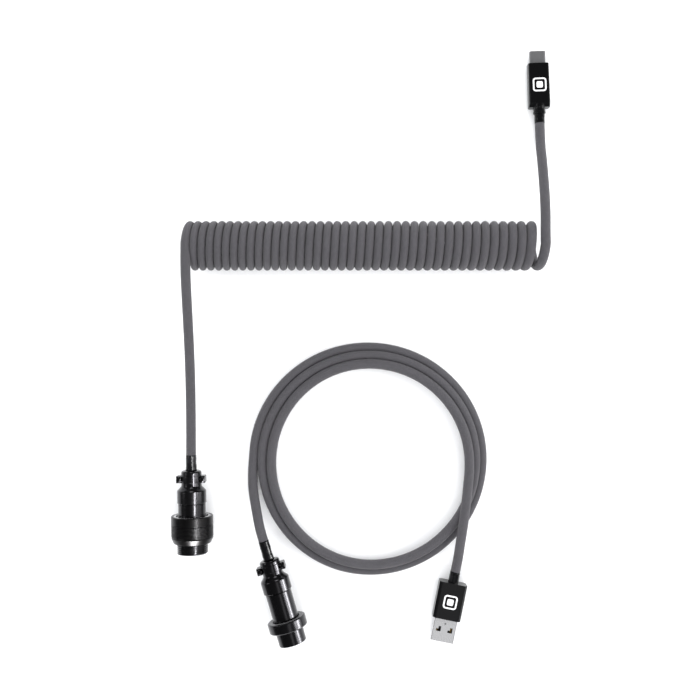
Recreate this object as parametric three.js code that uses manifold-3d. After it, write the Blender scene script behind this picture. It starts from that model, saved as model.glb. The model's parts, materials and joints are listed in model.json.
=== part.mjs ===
// A detachable keyboard cable in two halves, lying flat: a USB-C lead with a long tight coil and a threaded
// round socket, and a USB-A lead wound into a ring with the plug that screws onto that socket.
// Millimetres, +Z up, standing on Z = 0. The origin is below the middle of the box round the four connectors.
import * as THREE from "three";
import { mergeVertices } from "three/addons/utils/BufferGeometryUtils.js";
import Module from "manifold-3d";

const wasm = await Module();
wasm.setup();

// ---------------------------------------------------------------- driving dimensions
const GAP = 0.3; // left between pieces that touch
const CABLE = { radius: 2.5, coreRadius: 1.7, sides: 10, step: 10 };
const SEGMENTS = { large: 28, medium: 20, small: 8 };

// Each connector's own frame: its start is the middle of its cable end, +Y runs to its mouth and +Z stays up.
const PLACES = {
  usbC: { start: [92.2, 115.85, 3.3], headingDeg: 2 },
  socket: { start: [-86.85, -54.9, 10.65], headingDeg: 181 },
  plug: { start: [-50.07, -98.7, 9.9], headingDeg: 196.2 },
  usbA: { start: [48.5, -115.8, 4.0], headingDeg: 168.5 },
};

// The coil: a cylinder of touching turns along X.
const COIL = { fromX: -90, toX: 93.5, y: 51.4, z: 12.5, outerRadius: 12.5, innerRadius: 7.5 };
// The flat ring of about three turns.
const RING = { centre: [3.3, -57.6], innerRadius: 46.8, outerRadius: 61.4, height: 6.5 };

// Routes of the stretches that aren't coiled, from a coil or the ring to a connector's cable end.
const ROUTES = {
  usb_c_lead: [
    [91.4, 65, 21.5],
    [91.6, 75, 19],
    [91.8, 85, 15],
    [92.1, 95, 9.9],
    [92.3, 104.5, 5],
    [92.35, 111, 3.45],
    [92.2, 115.85, 3.3],
  ],
  socket_lead: [
    [-87.7, 38, 21.9],
    [-87.6, 28, 20.1],
    [-87.4, 10, 15.8],
    [-87.15, -10, 12.2],
    [-87, -30, 10.5],
    [-86.9, -45, 10.4],
    [-86.85, -54.9, 10.65],
  ],
  plug_lead: [
    [-52.4, -90.4, 9.3],
    [-51.3, -94.6, 9.8],
    [-50.07, -98.7, 9.9],
  ],
  usb_a_lead: [
    [54.9, -64, 9.9],
    [54.3, -70, 10.3],
    [53.3, -78.9, 10.7],
    [52.4, -86, 10.5],
    [51.6, -92.2, 10],
    [51, -96.5, 9.6],
    [50.5, -101, 8.3],
    [50, -106.6, 5.9],
    [49.3, -111.9, 4.2],
    [48.5, -115.8, 4],
  ],
};

// The rear housing that both round connectors share. Lengths run from its cable end.
const BACKSHELL = {
  neckRadius: 5.15,
  boreRadius: 2.6,
  neckLength: 8.4,
  shoulderLength: 2.1,
  radius: 7.35,
  length: 16.5,
  cavityRadius: 6.3,
  cavityFrom: 10.8,
};
const CLAMP = { from: 2.5, length: 3.6, width: 14.7, barLow: 1, barHigh: 3.2, earLow: -2.4, screwX: 5.9 };
const SCREW = { shankRadius: 0.85, headRadius: 1.5, headHeight: 1 };

const SOCKET = {
  shrinkLength: 7.8,
  shrinkRadius: 2.65,
  bodyRadius: 6.95,
  bodyLength: 6.4,
  noseRadius: 7.8,
  noseBoreRadius: 7.3,
  noseEnd: 49.9,
  insertFrom: 33.5,
  insertLength: 4.5,
  insertRadius: 6.3,
};
const LOCK_RING = { from: 30.7, length: 13.7, radius: 10.65, frontRadius: 9.4, chamfer: 2.5, recess: 1.4 };
const PLUG = {
  shrinkLength: 10,
  shrinkRadius: 2.55,
  bodyRadius: 6.6,
  noseRadius: 7.1,
  noseFrom: 43.8,
  noseEnd: 54,
  seatRadius: 6.5,
  insertRadius: 6.2,
  insertFrom: 41.3,
};
const COUPLING_NUT = { from: 41.2, length: 5.2, radius: 9.9, lipRadius: 6.9, lipLength: 1.4, boreRadius: 7.8 };
const CONTACTS = { count: 5, circleRadius: 4.2, pinRadius: 0.75, sleeveRadius: 1.1, sleeveBore: 0.8 };
const WIRE = { radius: 0.45, sides: 6, step: 3 };

const USB_C = {
  shrinkLength: 4.7,
  collarFrom: 5,
  collarLength: 2.7,
  collarRadius: 3.05,
  housingFrom: 8,
  housingLength: 22.4,
  width: 11,
  frontWidth: 10.6,
  height: 6.6,
  corner: 1.6,
  shellWidth: 8.34,
  shellHeight: 2.56,
  shellWall: 0.25,
  shellFrom: 24,
  shellEnd: 37.05,
  contactCount: 12,
  contactPitch: 0.5,
};
const USB_A = {
  bootLength: 5.6,
  bootRadius: 2.6,
  housingLength: 18.8,
  width: 14.4,
  height: 8,
  corner: 1.5,
  shellWidth: 12,
  shellHeight: 4.5,
  shellWall: 0.3,
  shellFrom: 18,
  shellEnd: 36.3,
  contactX: [-3.5, -1, 1, 3.5],
};
const BADGE = { size: 7, corner: 1.5, thickness: 0.4 };

// ---------------------------------------------------------------- finishes
const FINISHES = {
  braid: { color: 0x67656a, roughness: 0.85, metalness: 0 },
  blackMetal: { color: 0x1a1a1d, roughness: 0.3, metalness: 0.9 },
  shrink: { color: 0x0c0c0e, roughness: 0.35, metalness: 0 },
  steel: { color: 0xc9cbce, roughness: 0.3, metalness: 1 },
  gold: { color: 0xd6b35c, roughness: 0.3, metalness: 1 },
  plastic: { color: 0x202022, roughness: 0.6, metalness: 0 },
  jacket: { color: 0x303034, roughness: 0.7, metalness: 0 },
  board: { color: 0x1d5a35, roughness: 0.6, metalness: 0 },
  badge: { color: 0xe6e6e6, roughness: 0.4, metalness: 0 },
};

const part = new THREE.Group();

/** Adds one named piece to a group, with its own material. */
function add(group, name, geometry, finish) {
  const mesh = new THREE.Mesh(geometry, new THREE.MeshStandardMaterial(FINISHES[finish]));
  mesh.name = name;
  group.add(mesh);
}

/** A group at a connector's place, turned to its heading. */
function connectorGroup({ start, headingDeg }) {
  const group = new THREE.Group();
  group.position.set(...start);
  group.rotation.z = THREE.MathUtils.degToRad(headingDeg);
  part.add(group);
  return group;
}

// ---------------------------------------------------------------- solids
/** A closed geometry as a manifold solid. */
function solidOf(geometry) {
  const bare = geometry.clone();
  bare.deleteAttribute("normal");
  bare.deleteAttribute("uv");
  const merged = mergeVertices(bare, 1e-4);
  return new wasm.Manifold(
    new wasm.Mesh({
      numProp: 3,
      vertProperties: new Float32Array(merged.attributes.position.array),
      triVerts: new Uint32Array(merged.index.array),
    }),
  );
}

/** A manifold solid as a geometry with flat faces. */
function geometryOf(solid) {
  const mesh = solid.getMesh();
  const indexed = new THREE.BufferGeometry();
  indexed.setAttribute("position", new THREE.BufferAttribute(mesh.vertProperties, 3));
  indexed.setIndex(new THREE.BufferAttribute(mesh.triVerts, 1));
  const geometry = indexed.toNonIndexed();
  geometry.computeVertexNormals();
  return geometry;
}

/** The first geometry with the others cut out of it. */
function cut(geometry, ...tools) {
  return geometryOf(tools.reduce((left, tool) => left.subtract(solidOf(tool)), solidOf(geometry)));
}

/** All the geometries as one body. */
function join(geometry, ...others) {
  return geometryOf(others.reduce((whole, other) => whole.add(solidOf(other)), solidOf(geometry)));
}

/** A shape turned about Y from [radius, y] corners that run anticlockwise from the axis or close on themselves. */
function turned(corners, segments = SEGMENTS.medium) {
  return new THREE.LatheGeometry(
    corners.map(([radius, y]) => new THREE.Vector2(radius, y)),
    segments,
  );
}

/** A solid rod about Y. */
function rod(radius, from, to, segments) {
  return turned([[0, from], [radius, from], [radius, to], [0, to]], segments);
}

/** A plain tube about Y. */
function tube(radius, bore, from, to, segments) {
  return turned([[bore, from], [radius, from], [radius, to], [bore, to], [bore, from]], segments);
}

/** A box from its middle and size. */
function box(width, length, height, x, y, z) {
  return new THREE.BoxGeometry(width, length, height).translate(x, y, z);
}

/** A rectangle with round corners, centred. */
function roundedRectangle(width, height, corner) {
  const [x, y] = [width / 2 - corner, height / 2 - corner];
  const shape = new THREE.Shape();
  shape.absarc(x, y, corner, 0, Math.PI / 2);
  shape.absarc(-x, y, corner, Math.PI / 2, Math.PI);
  shape.absarc(-x, -y, corner, Math.PI, 1.5 * Math.PI);
  shape.absarc(x, -y, corner, 1.5 * Math.PI, 2 * Math.PI);
  return shape;
}

/** A shape in X and Z run along Y. */
function runAlongY(shape, from, to) {
  const geometry = new THREE.ExtrudeGeometry(shape, { depth: to - from, bevelEnabled: false, curveSegments: 3 });
  return geometry.rotateX(Math.PI / 2).translate(0, to, 0);
}

/** A tube of round section along a smooth route. */
function alongRoute(points, { radius, sides, step }) {
  const route = new THREE.CatmullRomCurve3(points.map((point) => new THREE.Vector3(...point)));
  const section = new THREE.Shape(
    Array.from({ length: sides }, (_, i) => {
      const angle = (2 * Math.PI * i) / sides;
      return new THREE.Vector2(radius * Math.cos(angle), radius * Math.sin(angle));
    }),
  );
  const steps = Math.max(2, Math.round(route.getLength() / step));
  return new THREE.ExtrudeGeometry(section, { extrudePath: route, steps, bevelEnabled: false });
}

/** The same item, turned into place at each contact of the round connectors. */
function onContactCircle(make) {
  return Array.from({ length: CONTACTS.count }, (_, i) => {
    const angle = Math.PI / 2 + (2 * Math.PI * i) / CONTACTS.count;
    const [x, z] = [CONTACTS.circleRadius * Math.cos(angle), CONTACTS.circleRadius * Math.sin(angle)];
    return make(x, z);
  });
}

// ---------------------------------------------------------------- cable
function buildCables() {
  for (const [name, points] of Object.entries(ROUTES)) {
    add(part, name, alongRoute(points, CABLE), "braid");
  }
  const coil = tube(COIL.outerRadius, COIL.innerRadius, COIL.fromX, COIL.toX, SEGMENTS.large);
  // Turned from Y to X, so that its length runs the same way.
  coil.rotateZ(-Math.PI / 2).translate(0, COIL.y, COIL.z);
  add(part, "coil_cord", coil, "braid");
  const ring = tube(RING.outerRadius, RING.innerRadius, 0, RING.height, SEGMENTS.large * 2);
  ring.rotateX(Math.PI / 2).translate(...RING.centre, 0);
  add(part, "ring_coil", ring, "braid");
}

/** A sleeve shrunk over the cable's end. */
function addShrink(group, name, radius, length) {
  const bore = CABLE.coreRadius + GAP;
  add(group, name, tube(radius, bore, GAP, length - GAP, SEGMENTS.medium), "shrink");
}

/** The cable's inner jacket, and the wires that fan out of it to the contacts. */
function addCore(group, name, end, wireEnds = [], wireTo = 0) {
  const jacket = rod(CABLE.coreRadius, GAP, end, SEGMENTS.small);
  const wires = wireEnds.map(([x, z]) => {
    const route = [[x * 0.2, end - 1.5, z * 0.2], [x * 0.35, end + 0.8, z * 0.35], [x, wireTo - 1.2, z], [x, wireTo, z]];
    return alongRoute(route, WIRE);
  });
  add(group, name, wires.length ? join(jacket, ...wires) : jacket, "jacket");
}

// ---------------------------------------------------------------- round connectors
/** The rear housing with its cable clamp and the clamp's two screws. */
function addBackshell(group, prefix, from) {
  const shell = BACKSHELL;
  const [neckEnd, shoulderEnd, end] = [
    from + shell.neckLength,
    from + shell.neckLength + shell.shoulderLength,
    from + shell.length,
  ];
  const cavity = from + shell.cavityFrom;
  const body = turned(
    [
      [shell.boreRadius, from],
      [shell.neckRadius, from],
      [shell.neckRadius, neckEnd],
      [shell.radius, shoulderEnd],
      [shell.radius, end],
      [shell.cavityRadius, end],
      [shell.cavityRadius, cavity],
      [shell.boreRadius, cavity],
      [shell.boreRadius, from],
    ],
    SEGMENTS.medium,
  );
  const middle = from + CLAMP.from + CLAMP.length / 2;
  const earTop = CLAMP.barLow - GAP;
  const earWidth = CLAMP.width / 2 - shell.boreRadius - 1;
  const earX = CLAMP.width / 2 - earWidth / 2;
  const ears = [-1, 1].map((side) =>
    box(earWidth, CLAMP.length, earTop - CLAMP.earLow, side * earX, middle, (earTop + CLAMP.earLow) / 2),
  );
  const seat = box(CLAMP.width, CLAMP.length + 2 * GAP, shell.neckRadius, 0, middle, earTop + shell.neckRadius / 2);
  const screwHoles = [-1, 1].map((side) =>
    rod(SCREW.shankRadius + GAP, CLAMP.earLow - 1, shell.neckRadius, SEGMENTS.small)
      .rotateX(Math.PI / 2)
      .translate(side * CLAMP.screwX, middle, 0),
  );
  add(group, `${prefix}_backshell`, cut(join(body, ...ears), seat, ...screwHoles), "blackMetal");

  const arch = cut(
    join(
      box(CLAMP.width, CLAMP.length, CLAMP.barHigh - CLAMP.barLow, 0, middle, (CLAMP.barHigh + CLAMP.barLow) / 2),
      rod(shell.neckRadius, from + CLAMP.from, from + CLAMP.from + CLAMP.length, SEGMENTS.medium),
    ),
    box(3 * CLAMP.width, 2 * CLAMP.length, 20, 0, middle, CLAMP.barLow - 10),
    rod(CABLE.coreRadius + GAP, from, neckEnd, SEGMENTS.medium),
    ...screwHoles,
  );
  add(group, `${prefix}_clamp_bar`, arch, "blackMetal");

  [-1, 1].forEach((side, i) => {
    const headLow = CLAMP.barHigh + GAP;
    const screw = turned(
      [
        [0, CLAMP.earLow],
        [SCREW.shankRadius, CLAMP.earLow],
        [SCREW.shankRadius, headLow],
        [SCREW.headRadius, headLow],
        [SCREW.headRadius, headLow + SCREW.headHeight * 0.6],
        [SCREW.headRadius * 0.7, headLow + SCREW.headHeight],
        [0, headLow + SCREW.headHeight],
      ],
      SEGMENTS.small,
    );
    screw.rotateX(Math.PI / 2).translate(side * CLAMP.screwX, middle, 0);
    add(group, `${prefix}_clamp_screw_${i + 1}`, screw, "blackMetal");
  });
}

function buildSocket() {
  const group = connectorGroup(PLACES.socket);
  const backshellFrom = SOCKET.shrinkLength;
  const bodyFrom = backshellFrom + BACKSHELL.length;
  const bodyEnd = bodyFrom + SOCKET.bodyLength;
  const spigot = BACKSHELL.cavityRadius - GAP;
  const contacts = onContactCircle((x, z) => [x, z]);
  addShrink(group, "socket_heat_shrink", SOCKET.shrinkRadius, SOCKET.shrinkLength);
  addCore(group, "socket_core", backshellFrom + 12, contacts, 30.2);
  addBackshell(group, "socket", backshellFrom);

  const seatRadius = SOCKET.insertRadius + GAP;
  const seatFrom = SOCKET.insertFrom - GAP;
  const boreFrom = SOCKET.insertFrom + SOCKET.insertLength + GAP;
  const cavityRadius = 5.5;
  const barrel = turned(
    [
      [cavityRadius, bodyFrom - 4],
      [spigot, bodyFrom - 4],
      [spigot, bodyFrom + GAP],
      [SOCKET.bodyRadius, bodyFrom + GAP],
      [SOCKET.bodyRadius, bodyEnd],
      [SOCKET.noseRadius, bodyEnd],
      [SOCKET.noseRadius, SOCKET.noseEnd],
      [SOCKET.noseBoreRadius, SOCKET.noseEnd],
      [SOCKET.noseBoreRadius, boreFrom],
      [seatRadius, boreFrom],
      [seatRadius, seatFrom],
      [cavityRadius, seatFrom],
      [cavityRadius, bodyFrom - 4],
    ],
    SEGMENTS.large,
  );
  add(group, "socket_barrel", barrel, "blackMetal");

  const insertEnd = SOCKET.insertFrom + SOCKET.insertLength;
  const pinHoles = onContactCircle((x, z) =>
    rod(CONTACTS.pinRadius + GAP, SOCKET.insertFrom - 1, insertEnd + 1, SEGMENTS.small).translate(x, 0, z),
  );
  const insert = rod(SOCKET.insertRadius, SOCKET.insertFrom, insertEnd, SEGMENTS.large);
  add(group, "socket_insert", cut(insert, ...pinHoles), "plastic");

  const pin = [
    [0, 30.5],
    [CONTACTS.pinRadius, 30.5],
    [CONTACTS.pinRadius, 45.1],
    [CONTACTS.pinRadius * 0.6, 45.7],
    [0, 45.8],
  ];
  onContactCircle((x, z) => turned(pin, SEGMENTS.small).translate(x, 0, z)).forEach((geometry, i) =>
    add(group, `socket_pin_${i + 1}`, geometry, "gold"),
  );

  const ring = LOCK_RING;
  const [boreRadius, ringEnd] = [SOCKET.noseRadius + GAP, ring.from + ring.length];
  const recessRadius = 9.3;
  const lockRing = turned(
    [
      [boreRadius, ring.from + ring.recess],
      [recessRadius, ring.from + ring.recess],
      [recessRadius, ring.from],
      [ring.radius - 0.4, ring.from],
      [ring.radius, ring.from + 0.4],
      [ring.radius, ringEnd - ring.chamfer],
      [ring.frontRadius, ringEnd],
      [boreRadius, ringEnd],
      [boreRadius, ring.from + ring.recess],
    ],
    SEGMENTS.large,
  );
  add(group, "lock_ring", lockRing, "blackMetal");
  const washer = tube(recessRadius - GAP, boreRadius, ring.from + GAP, ring.from + ring.recess - GAP, SEGMENTS.large);
  add(group, "lock_ring_washer", washer, "plastic");
}

function buildPlug() {
  const group = connectorGroup(PLACES.plug);
  const backshellFrom = PLUG.shrinkLength;
  const bodyFrom = backshellFrom + BACKSHELL.length;
  const spigot = BACKSHELL.cavityRadius - GAP;
  const contacts = onContactCircle((x, z) => [x, z]);
  addShrink(group, "plug_heat_shrink", PLUG.shrinkRadius, PLUG.shrinkLength);
  addCore(group, "plug_core", backshellFrom + 12, contacts, 37.4);
  addBackshell(group, "plug", backshellFrom);

  const cavityRadius = 5.5;
  const seatFrom = PLUG.insertFrom - GAP;
  const barrel = turned(
    [
      [cavityRadius, bodyFrom - 4],
      [spigot, bodyFrom - 4],
      [spigot, bodyFrom + GAP],
      [PLUG.bodyRadius, bodyFrom + GAP],
      [PLUG.bodyRadius, PLUG.noseFrom],
      [PLUG.noseRadius, PLUG.noseFrom],
      [PLUG.noseRadius, PLUG.noseEnd],
      [PLUG.seatRadius, PLUG.noseEnd],
      [PLUG.seatRadius, 45],
      [6.0, 45],
      [6.0, seatFrom],
      [cavityRadius, seatFrom],
      [cavityRadius, bodyFrom - 4],
    ],
    SEGMENTS.large,
  );
  add(group, "plug_barrel", barrel, "blackMetal");

  const sleeveHole = CONTACTS.sleeveRadius + GAP;
  const insertEnd = PLUG.noseEnd - 0.5;
  const holes = onContactCircle((x, z) =>
    rod(sleeveHole, PLUG.insertFrom - 1, insertEnd + 1, SEGMENTS.small).translate(x, 0, z),
  );
  const insert = turned(
    [
      [0, PLUG.insertFrom],
      [5.7, PLUG.insertFrom],
      [5.7, 45 + GAP],
      [PLUG.insertRadius, 45 + GAP],
      [PLUG.insertRadius, insertEnd],
      [0, insertEnd],
    ],
    SEGMENTS.large,
  );
  add(group, "plug_insert", cut(insert, ...holes), "plastic");

  const sleeve = [
    [0, 37.8],
    [CONTACTS.sleeveRadius, 37.8],
    [CONTACTS.sleeveRadius, insertEnd],
    [CONTACTS.sleeveBore, insertEnd],
    [CONTACTS.sleeveBore, insertEnd - 9],
    [0, insertEnd - 9],
  ];
  onContactCircle((x, z) => turned(sleeve, SEGMENTS.small).translate(x, 0, z)).forEach((geometry, i) =>
    add(group, `plug_contact_${i + 1}`, geometry, "gold"),
  );

  const nut = COUPLING_NUT;
  const [lipEnd, nutEnd] = [nut.from + nut.lipLength, nut.from + nut.length];
  const couplingNut = turned(
    [
      [nut.lipRadius, nut.from],
      [nut.radius - 0.3, nut.from],
      [nut.radius, nut.from + 0.3],
      [nut.radius, nutEnd - 0.3],
      [nut.radius - 0.3, nutEnd],
      [nut.boreRadius, nutEnd],
      [nut.boreRadius, lipEnd],
      [nut.lipRadius, lipEnd],
      [nut.lipRadius, nut.from],
    ],
    SEGMENTS.large,
  );
  add(group, "coupling_nut", couplingNut, "blackMetal");
  const washer = tube(nut.boreRadius - GAP, nut.lipRadius, lipEnd + GAP, PLUG.noseFrom - GAP, SEGMENTS.large);
  add(group, "coupling_nut_washer", washer, "plastic");
}

// ---------------------------------------------------------------- USB connectors
/** A rounded square plate for a grip's upper face, and the pocket that it lies in. */
function badgeAt(y, top) {
  const plate = (size, low, high) =>
    new THREE.ExtrudeGeometry(roundedRectangle(size, size, BADGE.corner), {
      depth: high - low,
      bevelEnabled: false,
      curveSegments: 3,
    }).translate(0, y, low);
  return {
    badge: plate(BADGE.size, top - BADGE.thickness, top),
    pocket: plate(BADGE.size + 2 * GAP, top - BADGE.thickness - GAP, top + 1),
  };
}

function buildUsbC() {
  const group = connectorGroup(PLACES.usbC);
  const c = USB_C;
  const coreHole = CABLE.coreRadius + GAP;
  const housingEnd = c.housingFrom + c.housingLength;
  addShrink(group, "usb_c_heat_shrink", CABLE.radius, c.shrinkLength);
  addCore(group, "usb_c_core", c.housingFrom + 3.6);
  const collar = turned(
    [
      [coreHole, c.collarFrom],
      [c.collarRadius + 0.15, c.collarFrom],
      [c.collarRadius, c.collarFrom + 1],
      [c.collarRadius, c.collarFrom + c.collarLength],
      [coreHole, c.collarFrom + c.collarLength],
      [coreHole, c.collarFrom],
    ],
    SEGMENTS.medium,
  );
  add(group, "usb_c_collar", collar, "blackMetal");

  const outer = runAlongY(roundedRectangle(c.width, c.height, c.corner), c.housingFrom, housingEnd);
  const position = outer.attributes.position;
  for (let i = 0; i < position.count; i++) {
    const share = (position.getY(i) - c.housingFrom) / c.housingLength;
    position.setX(i, position.getX(i) * THREE.MathUtils.lerp(1, c.frontWidth / c.width, share));
  }
  const { badge, pocket } = badgeAt(c.housingFrom + 10.5, c.height / 2);
  const slot = roundedRectangle(c.shellWidth + 2 * GAP, c.shellHeight + 2 * GAP, c.shellHeight / 2 + GAP - 0.01);
  const housing = cut(
    outer,
    runAlongY(roundedRectangle(9, 4.2, 0.8), c.housingFrom + 2.4, housingEnd - 1.2),
    runAlongY(slot, housingEnd - 2, housingEnd + 1),
    rod(coreHole, c.housingFrom - 1, c.housingFrom + 4, SEGMENTS.medium),
    pocket,
  );
  add(group, "usb_c_housing", housing, "blackMetal");
  add(group, "usb_c_badge", badge, "badge");

  const stadium = (inset) =>
    roundedRectangle(c.shellWidth - 2 * inset, c.shellHeight - 2 * inset, c.shellHeight / 2 - inset - 0.01);
  const shell = cut(
    runAlongY(stadium(0), c.shellFrom, c.shellEnd),
    runAlongY(stadium(c.shellWall), c.shellFrom - 1, c.shellEnd + 1),
  );
  add(group, "usb_c_shell", shell, "steel");
  const insulatorEnd = 29.5;
  const insulator = runAlongY(stadium(c.shellWall + GAP), c.shellFrom + 0.3, insulatorEnd);
  add(group, "usb_c_insulator", insulator, "plastic");
  add(group, "usb_c_board", box(7, 11, 0.8, 0, 18, 0), "board");

  const rowWidth = (c.contactCount - 1) * c.contactPitch;
  [["upper", 1], ["lower", -1]].forEach(([row, side]) => {
    const z = side * 0.58;
    const bar = box(rowWidth + 0.25, 0.6, 0.22, 0, insulatorEnd + 0.6, z);
    const fingers = Array.from({ length: c.contactCount }, (_, i) =>
      box(0.25, 5.6, 0.22, i * c.contactPitch - rowWidth / 2, insulatorEnd + 3.1, z),
    );
    add(group, `usb_c_contacts_${row}`, join(bar, ...fingers), "gold");
  });
}

function buildUsbA() {
  const group = connectorGroup(PLACES.usbA);
  const a = USB_A;
  const coreHole = CABLE.coreRadius + GAP;
  const housingEnd = a.bootLength + a.housingLength;
  addShrink(group, "usb_a_boot", a.bootRadius, a.bootLength);
  addCore(group, "usb_a_core", a.bootLength + 6);

  const { badge, pocket } = badgeAt(a.bootLength + 9.5, a.height / 2);
  const housing = cut(
    runAlongY(roundedRectangle(a.width, a.height, a.corner), a.bootLength, housingEnd),
    runAlongY(roundedRectangle(12.2, 5.1, 0.6), a.bootLength + 2.2, housingEnd - 1),
    runAlongY(roundedRectangle(a.shellWidth + 2 * GAP, a.shellHeight + 2 * GAP, 0.6), housingEnd - 2, housingEnd + 1),
    rod(coreHole, a.bootLength - 1, a.bootLength + 4, SEGMENTS.medium),
    pocket,
  );
  add(group, "usb_a_housing", housing, "blackMetal");
  add(group, "usb_a_badge", badge, "badge");

  const windows = [-3, 3].flatMap((x) => [1, -1].map((side) => box(2.4, 2.6, 2, x, a.shellEnd - 6.4, side * 2.2)));
  const shell = cut(
    runAlongY(roundedRectangle(a.shellWidth, a.shellHeight, 0.5), a.shellFrom, a.shellEnd),
    runAlongY(
      roundedRectangle(a.shellWidth - 2 * a.shellWall, a.shellHeight - 2 * a.shellWall, 0.25),
      a.shellFrom - 1,
      a.shellEnd + 1,
    ),
    ...windows,
  );
  add(group, "usb_a_shell", shell, "steel");
  const floor = -a.shellHeight / 2 + a.shellWall + GAP;
  const tongueTop = 0;
  const tongueLength = a.shellEnd - a.shellFrom - 1.2;
  const tongueMiddle = a.shellFrom + GAP + tongueLength / 2;
  const tongue = join(
    box(10.8, tongueLength, tongueTop - floor, 0, tongueMiddle, (tongueTop + floor) / 2),
    box(10.8, 4.6, 1.4, 0, a.shellFrom + GAP + 2.3, 0.65),
  );
  add(group, "usb_a_tongue", tongue, "plastic");
  a.contactX.forEach((x, i) => {
    const length = i === 0 || i === 3 ? 9.6 : 8.6;
    add(group, `usb_a_contact_${i + 1}`, box(1, length, 0.25, x, 23.4 + length / 2, tongueTop + 0.425), "gold");
  });
}

buildCables();
buildUsbC();
buildSocket();
buildPlug();
buildUsbA();

export default part;
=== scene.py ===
"""Looks of a coiled keyboard cable in two halves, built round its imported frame.

One half runs from a USB-C plug through a long tight coil to a threaded round socket. The other runs from the
round plug that mates with it, through a flat ring of two and a half turns, to a USB-A plug. Each connector is
modelled in millimetres in its own frame, with Y from its cable end to its mouth and Z up, and then laid where the
frame has it.
"""

import json
import logging
import math
from collections.abc import Callable, Iterable, Sequence
from dataclasses import dataclass, field
from enum import Enum
from typing import Any

import bmesh
import bpy
import numpy as np
from bmesh.types import BMEdge, BMesh, BMFace
from mathutils import Matrix, Vector, noise

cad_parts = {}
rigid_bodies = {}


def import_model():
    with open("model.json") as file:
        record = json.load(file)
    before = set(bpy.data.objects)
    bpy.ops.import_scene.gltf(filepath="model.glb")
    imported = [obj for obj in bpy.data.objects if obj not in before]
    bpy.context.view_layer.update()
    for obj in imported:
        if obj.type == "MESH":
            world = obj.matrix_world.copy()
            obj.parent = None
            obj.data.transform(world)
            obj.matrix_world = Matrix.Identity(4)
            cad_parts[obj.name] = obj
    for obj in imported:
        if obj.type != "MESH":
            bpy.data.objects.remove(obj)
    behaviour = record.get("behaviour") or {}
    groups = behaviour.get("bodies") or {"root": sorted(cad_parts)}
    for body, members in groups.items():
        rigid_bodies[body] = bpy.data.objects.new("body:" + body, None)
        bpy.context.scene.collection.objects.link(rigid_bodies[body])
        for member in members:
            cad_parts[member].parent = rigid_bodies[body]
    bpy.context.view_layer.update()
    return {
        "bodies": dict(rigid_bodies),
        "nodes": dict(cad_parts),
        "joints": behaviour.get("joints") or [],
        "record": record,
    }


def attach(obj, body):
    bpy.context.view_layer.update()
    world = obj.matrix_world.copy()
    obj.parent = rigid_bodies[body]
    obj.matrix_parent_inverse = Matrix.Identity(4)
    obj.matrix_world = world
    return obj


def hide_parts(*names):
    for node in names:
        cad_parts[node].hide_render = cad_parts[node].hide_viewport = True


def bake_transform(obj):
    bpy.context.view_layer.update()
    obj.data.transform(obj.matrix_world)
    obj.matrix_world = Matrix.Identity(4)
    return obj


LOG = logging.getLogger("keyboard_cable")
MM = 0.001
FULL_TURN = 2 * math.pi
Point = tuple[float, float, float]
Colour = tuple[float, float, float]


# ------------------------------------------------------------------ node graphs
class Graph:
    """A node tree, with short ways to add nodes and join them."""

    def __init__(self, tree: bpy.types.NodeTree) -> None:
        """Wraps a tree, without its nodes."""
        self.tree = tree
        self.tree.nodes.clear()

    def feed(self, socket: bpy.types.NodeSocket, value: Any) -> None:
        """Links a socket to another, or sets its value.

        Args:
            socket: the input to fill.
            value: an output socket or a constant.
        """
        if isinstance(value, bpy.types.NodeSocket):
            self.tree.links.new(value, socket)
        else:
            socket.default_value = value

    def add(self, kind: str, inputs: dict[str | int, Any] | None = None, **settings: Any) -> bpy.types.Node:
        """Adds one node.

        Args:
            kind: the node's type name.
            inputs: what each named or numbered input gets.
            **settings: the node's own properties.

        Returns:
            The node.
        """
        node = self.tree.nodes.new(kind)
        for name, value in settings.items():
            setattr(node, name, value)
        for name, value in (inputs or {}).items():
            self.feed(node.inputs[name], value)
        return node

    def math(self, operation: str, *values: Any, clamp: bool = False) -> bpy.types.NodeSocket:
        """Adds a Math node with its operands in order, and gives its result."""
        return self.add("ShaderNodeMath", dict(enumerate(values)), operation=operation, use_clamp=clamp).outputs[0]

    def blend(self, factor: Any, a: Any, b: Any) -> bpy.types.NodeSocket:
        """Adds a colour Mix node.

        Args:
            factor: the share of the second colour.
            a: the first colour.
            b: the second colour.

        Returns:
            The mixed colour.
        """
        node = self.add("ShaderNodeMix", data_type="RGBA")
        self.feed(node.inputs[0], factor)
        self.feed(node.inputs[6], a)
        self.feed(node.inputs[7], b)
        return node.outputs[2]

    def span(self, value: Any, low: float, high: float) -> bpy.types.NodeSocket:
        """Maps a value from 0..1 onto the range from low to high."""
        return self.math("MULTIPLY_ADD", value, high - low, low)

    def mean(self, a: Any, b: Any) -> bpy.types.NodeSocket:
        """The mean of two values."""
        return self.math("MULTIPLY_ADD", a, 0.5, self.math("MULTIPLY", b, 0.5))

    def tones(self, factor: Any, colour: Colour, spread: float) -> bpy.types.NodeSocket:
        """Runs from a darker to a lighter shade of a colour.

        Args:
            factor: the share of the lighter shade.
            colour: the colour between them.
            spread: how far each shade is from it, as a share.

        Returns:
            The shade.
        """
        dark = (*(c * (1 - spread) for c in colour), 1.0)
        light = (*(min(1.0, c * (1 + spread)) for c in colour), 1.0)
        return self.blend(factor, dark, light)

    def surface(self, inputs: dict[str, Any]) -> None:
        """Ends a material with a Principled BSDF that has these inputs."""
        shader = self.add("ShaderNodeBsdfPrincipled", inputs)
        self.add("ShaderNodeOutputMaterial", {"Surface": shader.outputs[0]})


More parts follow.
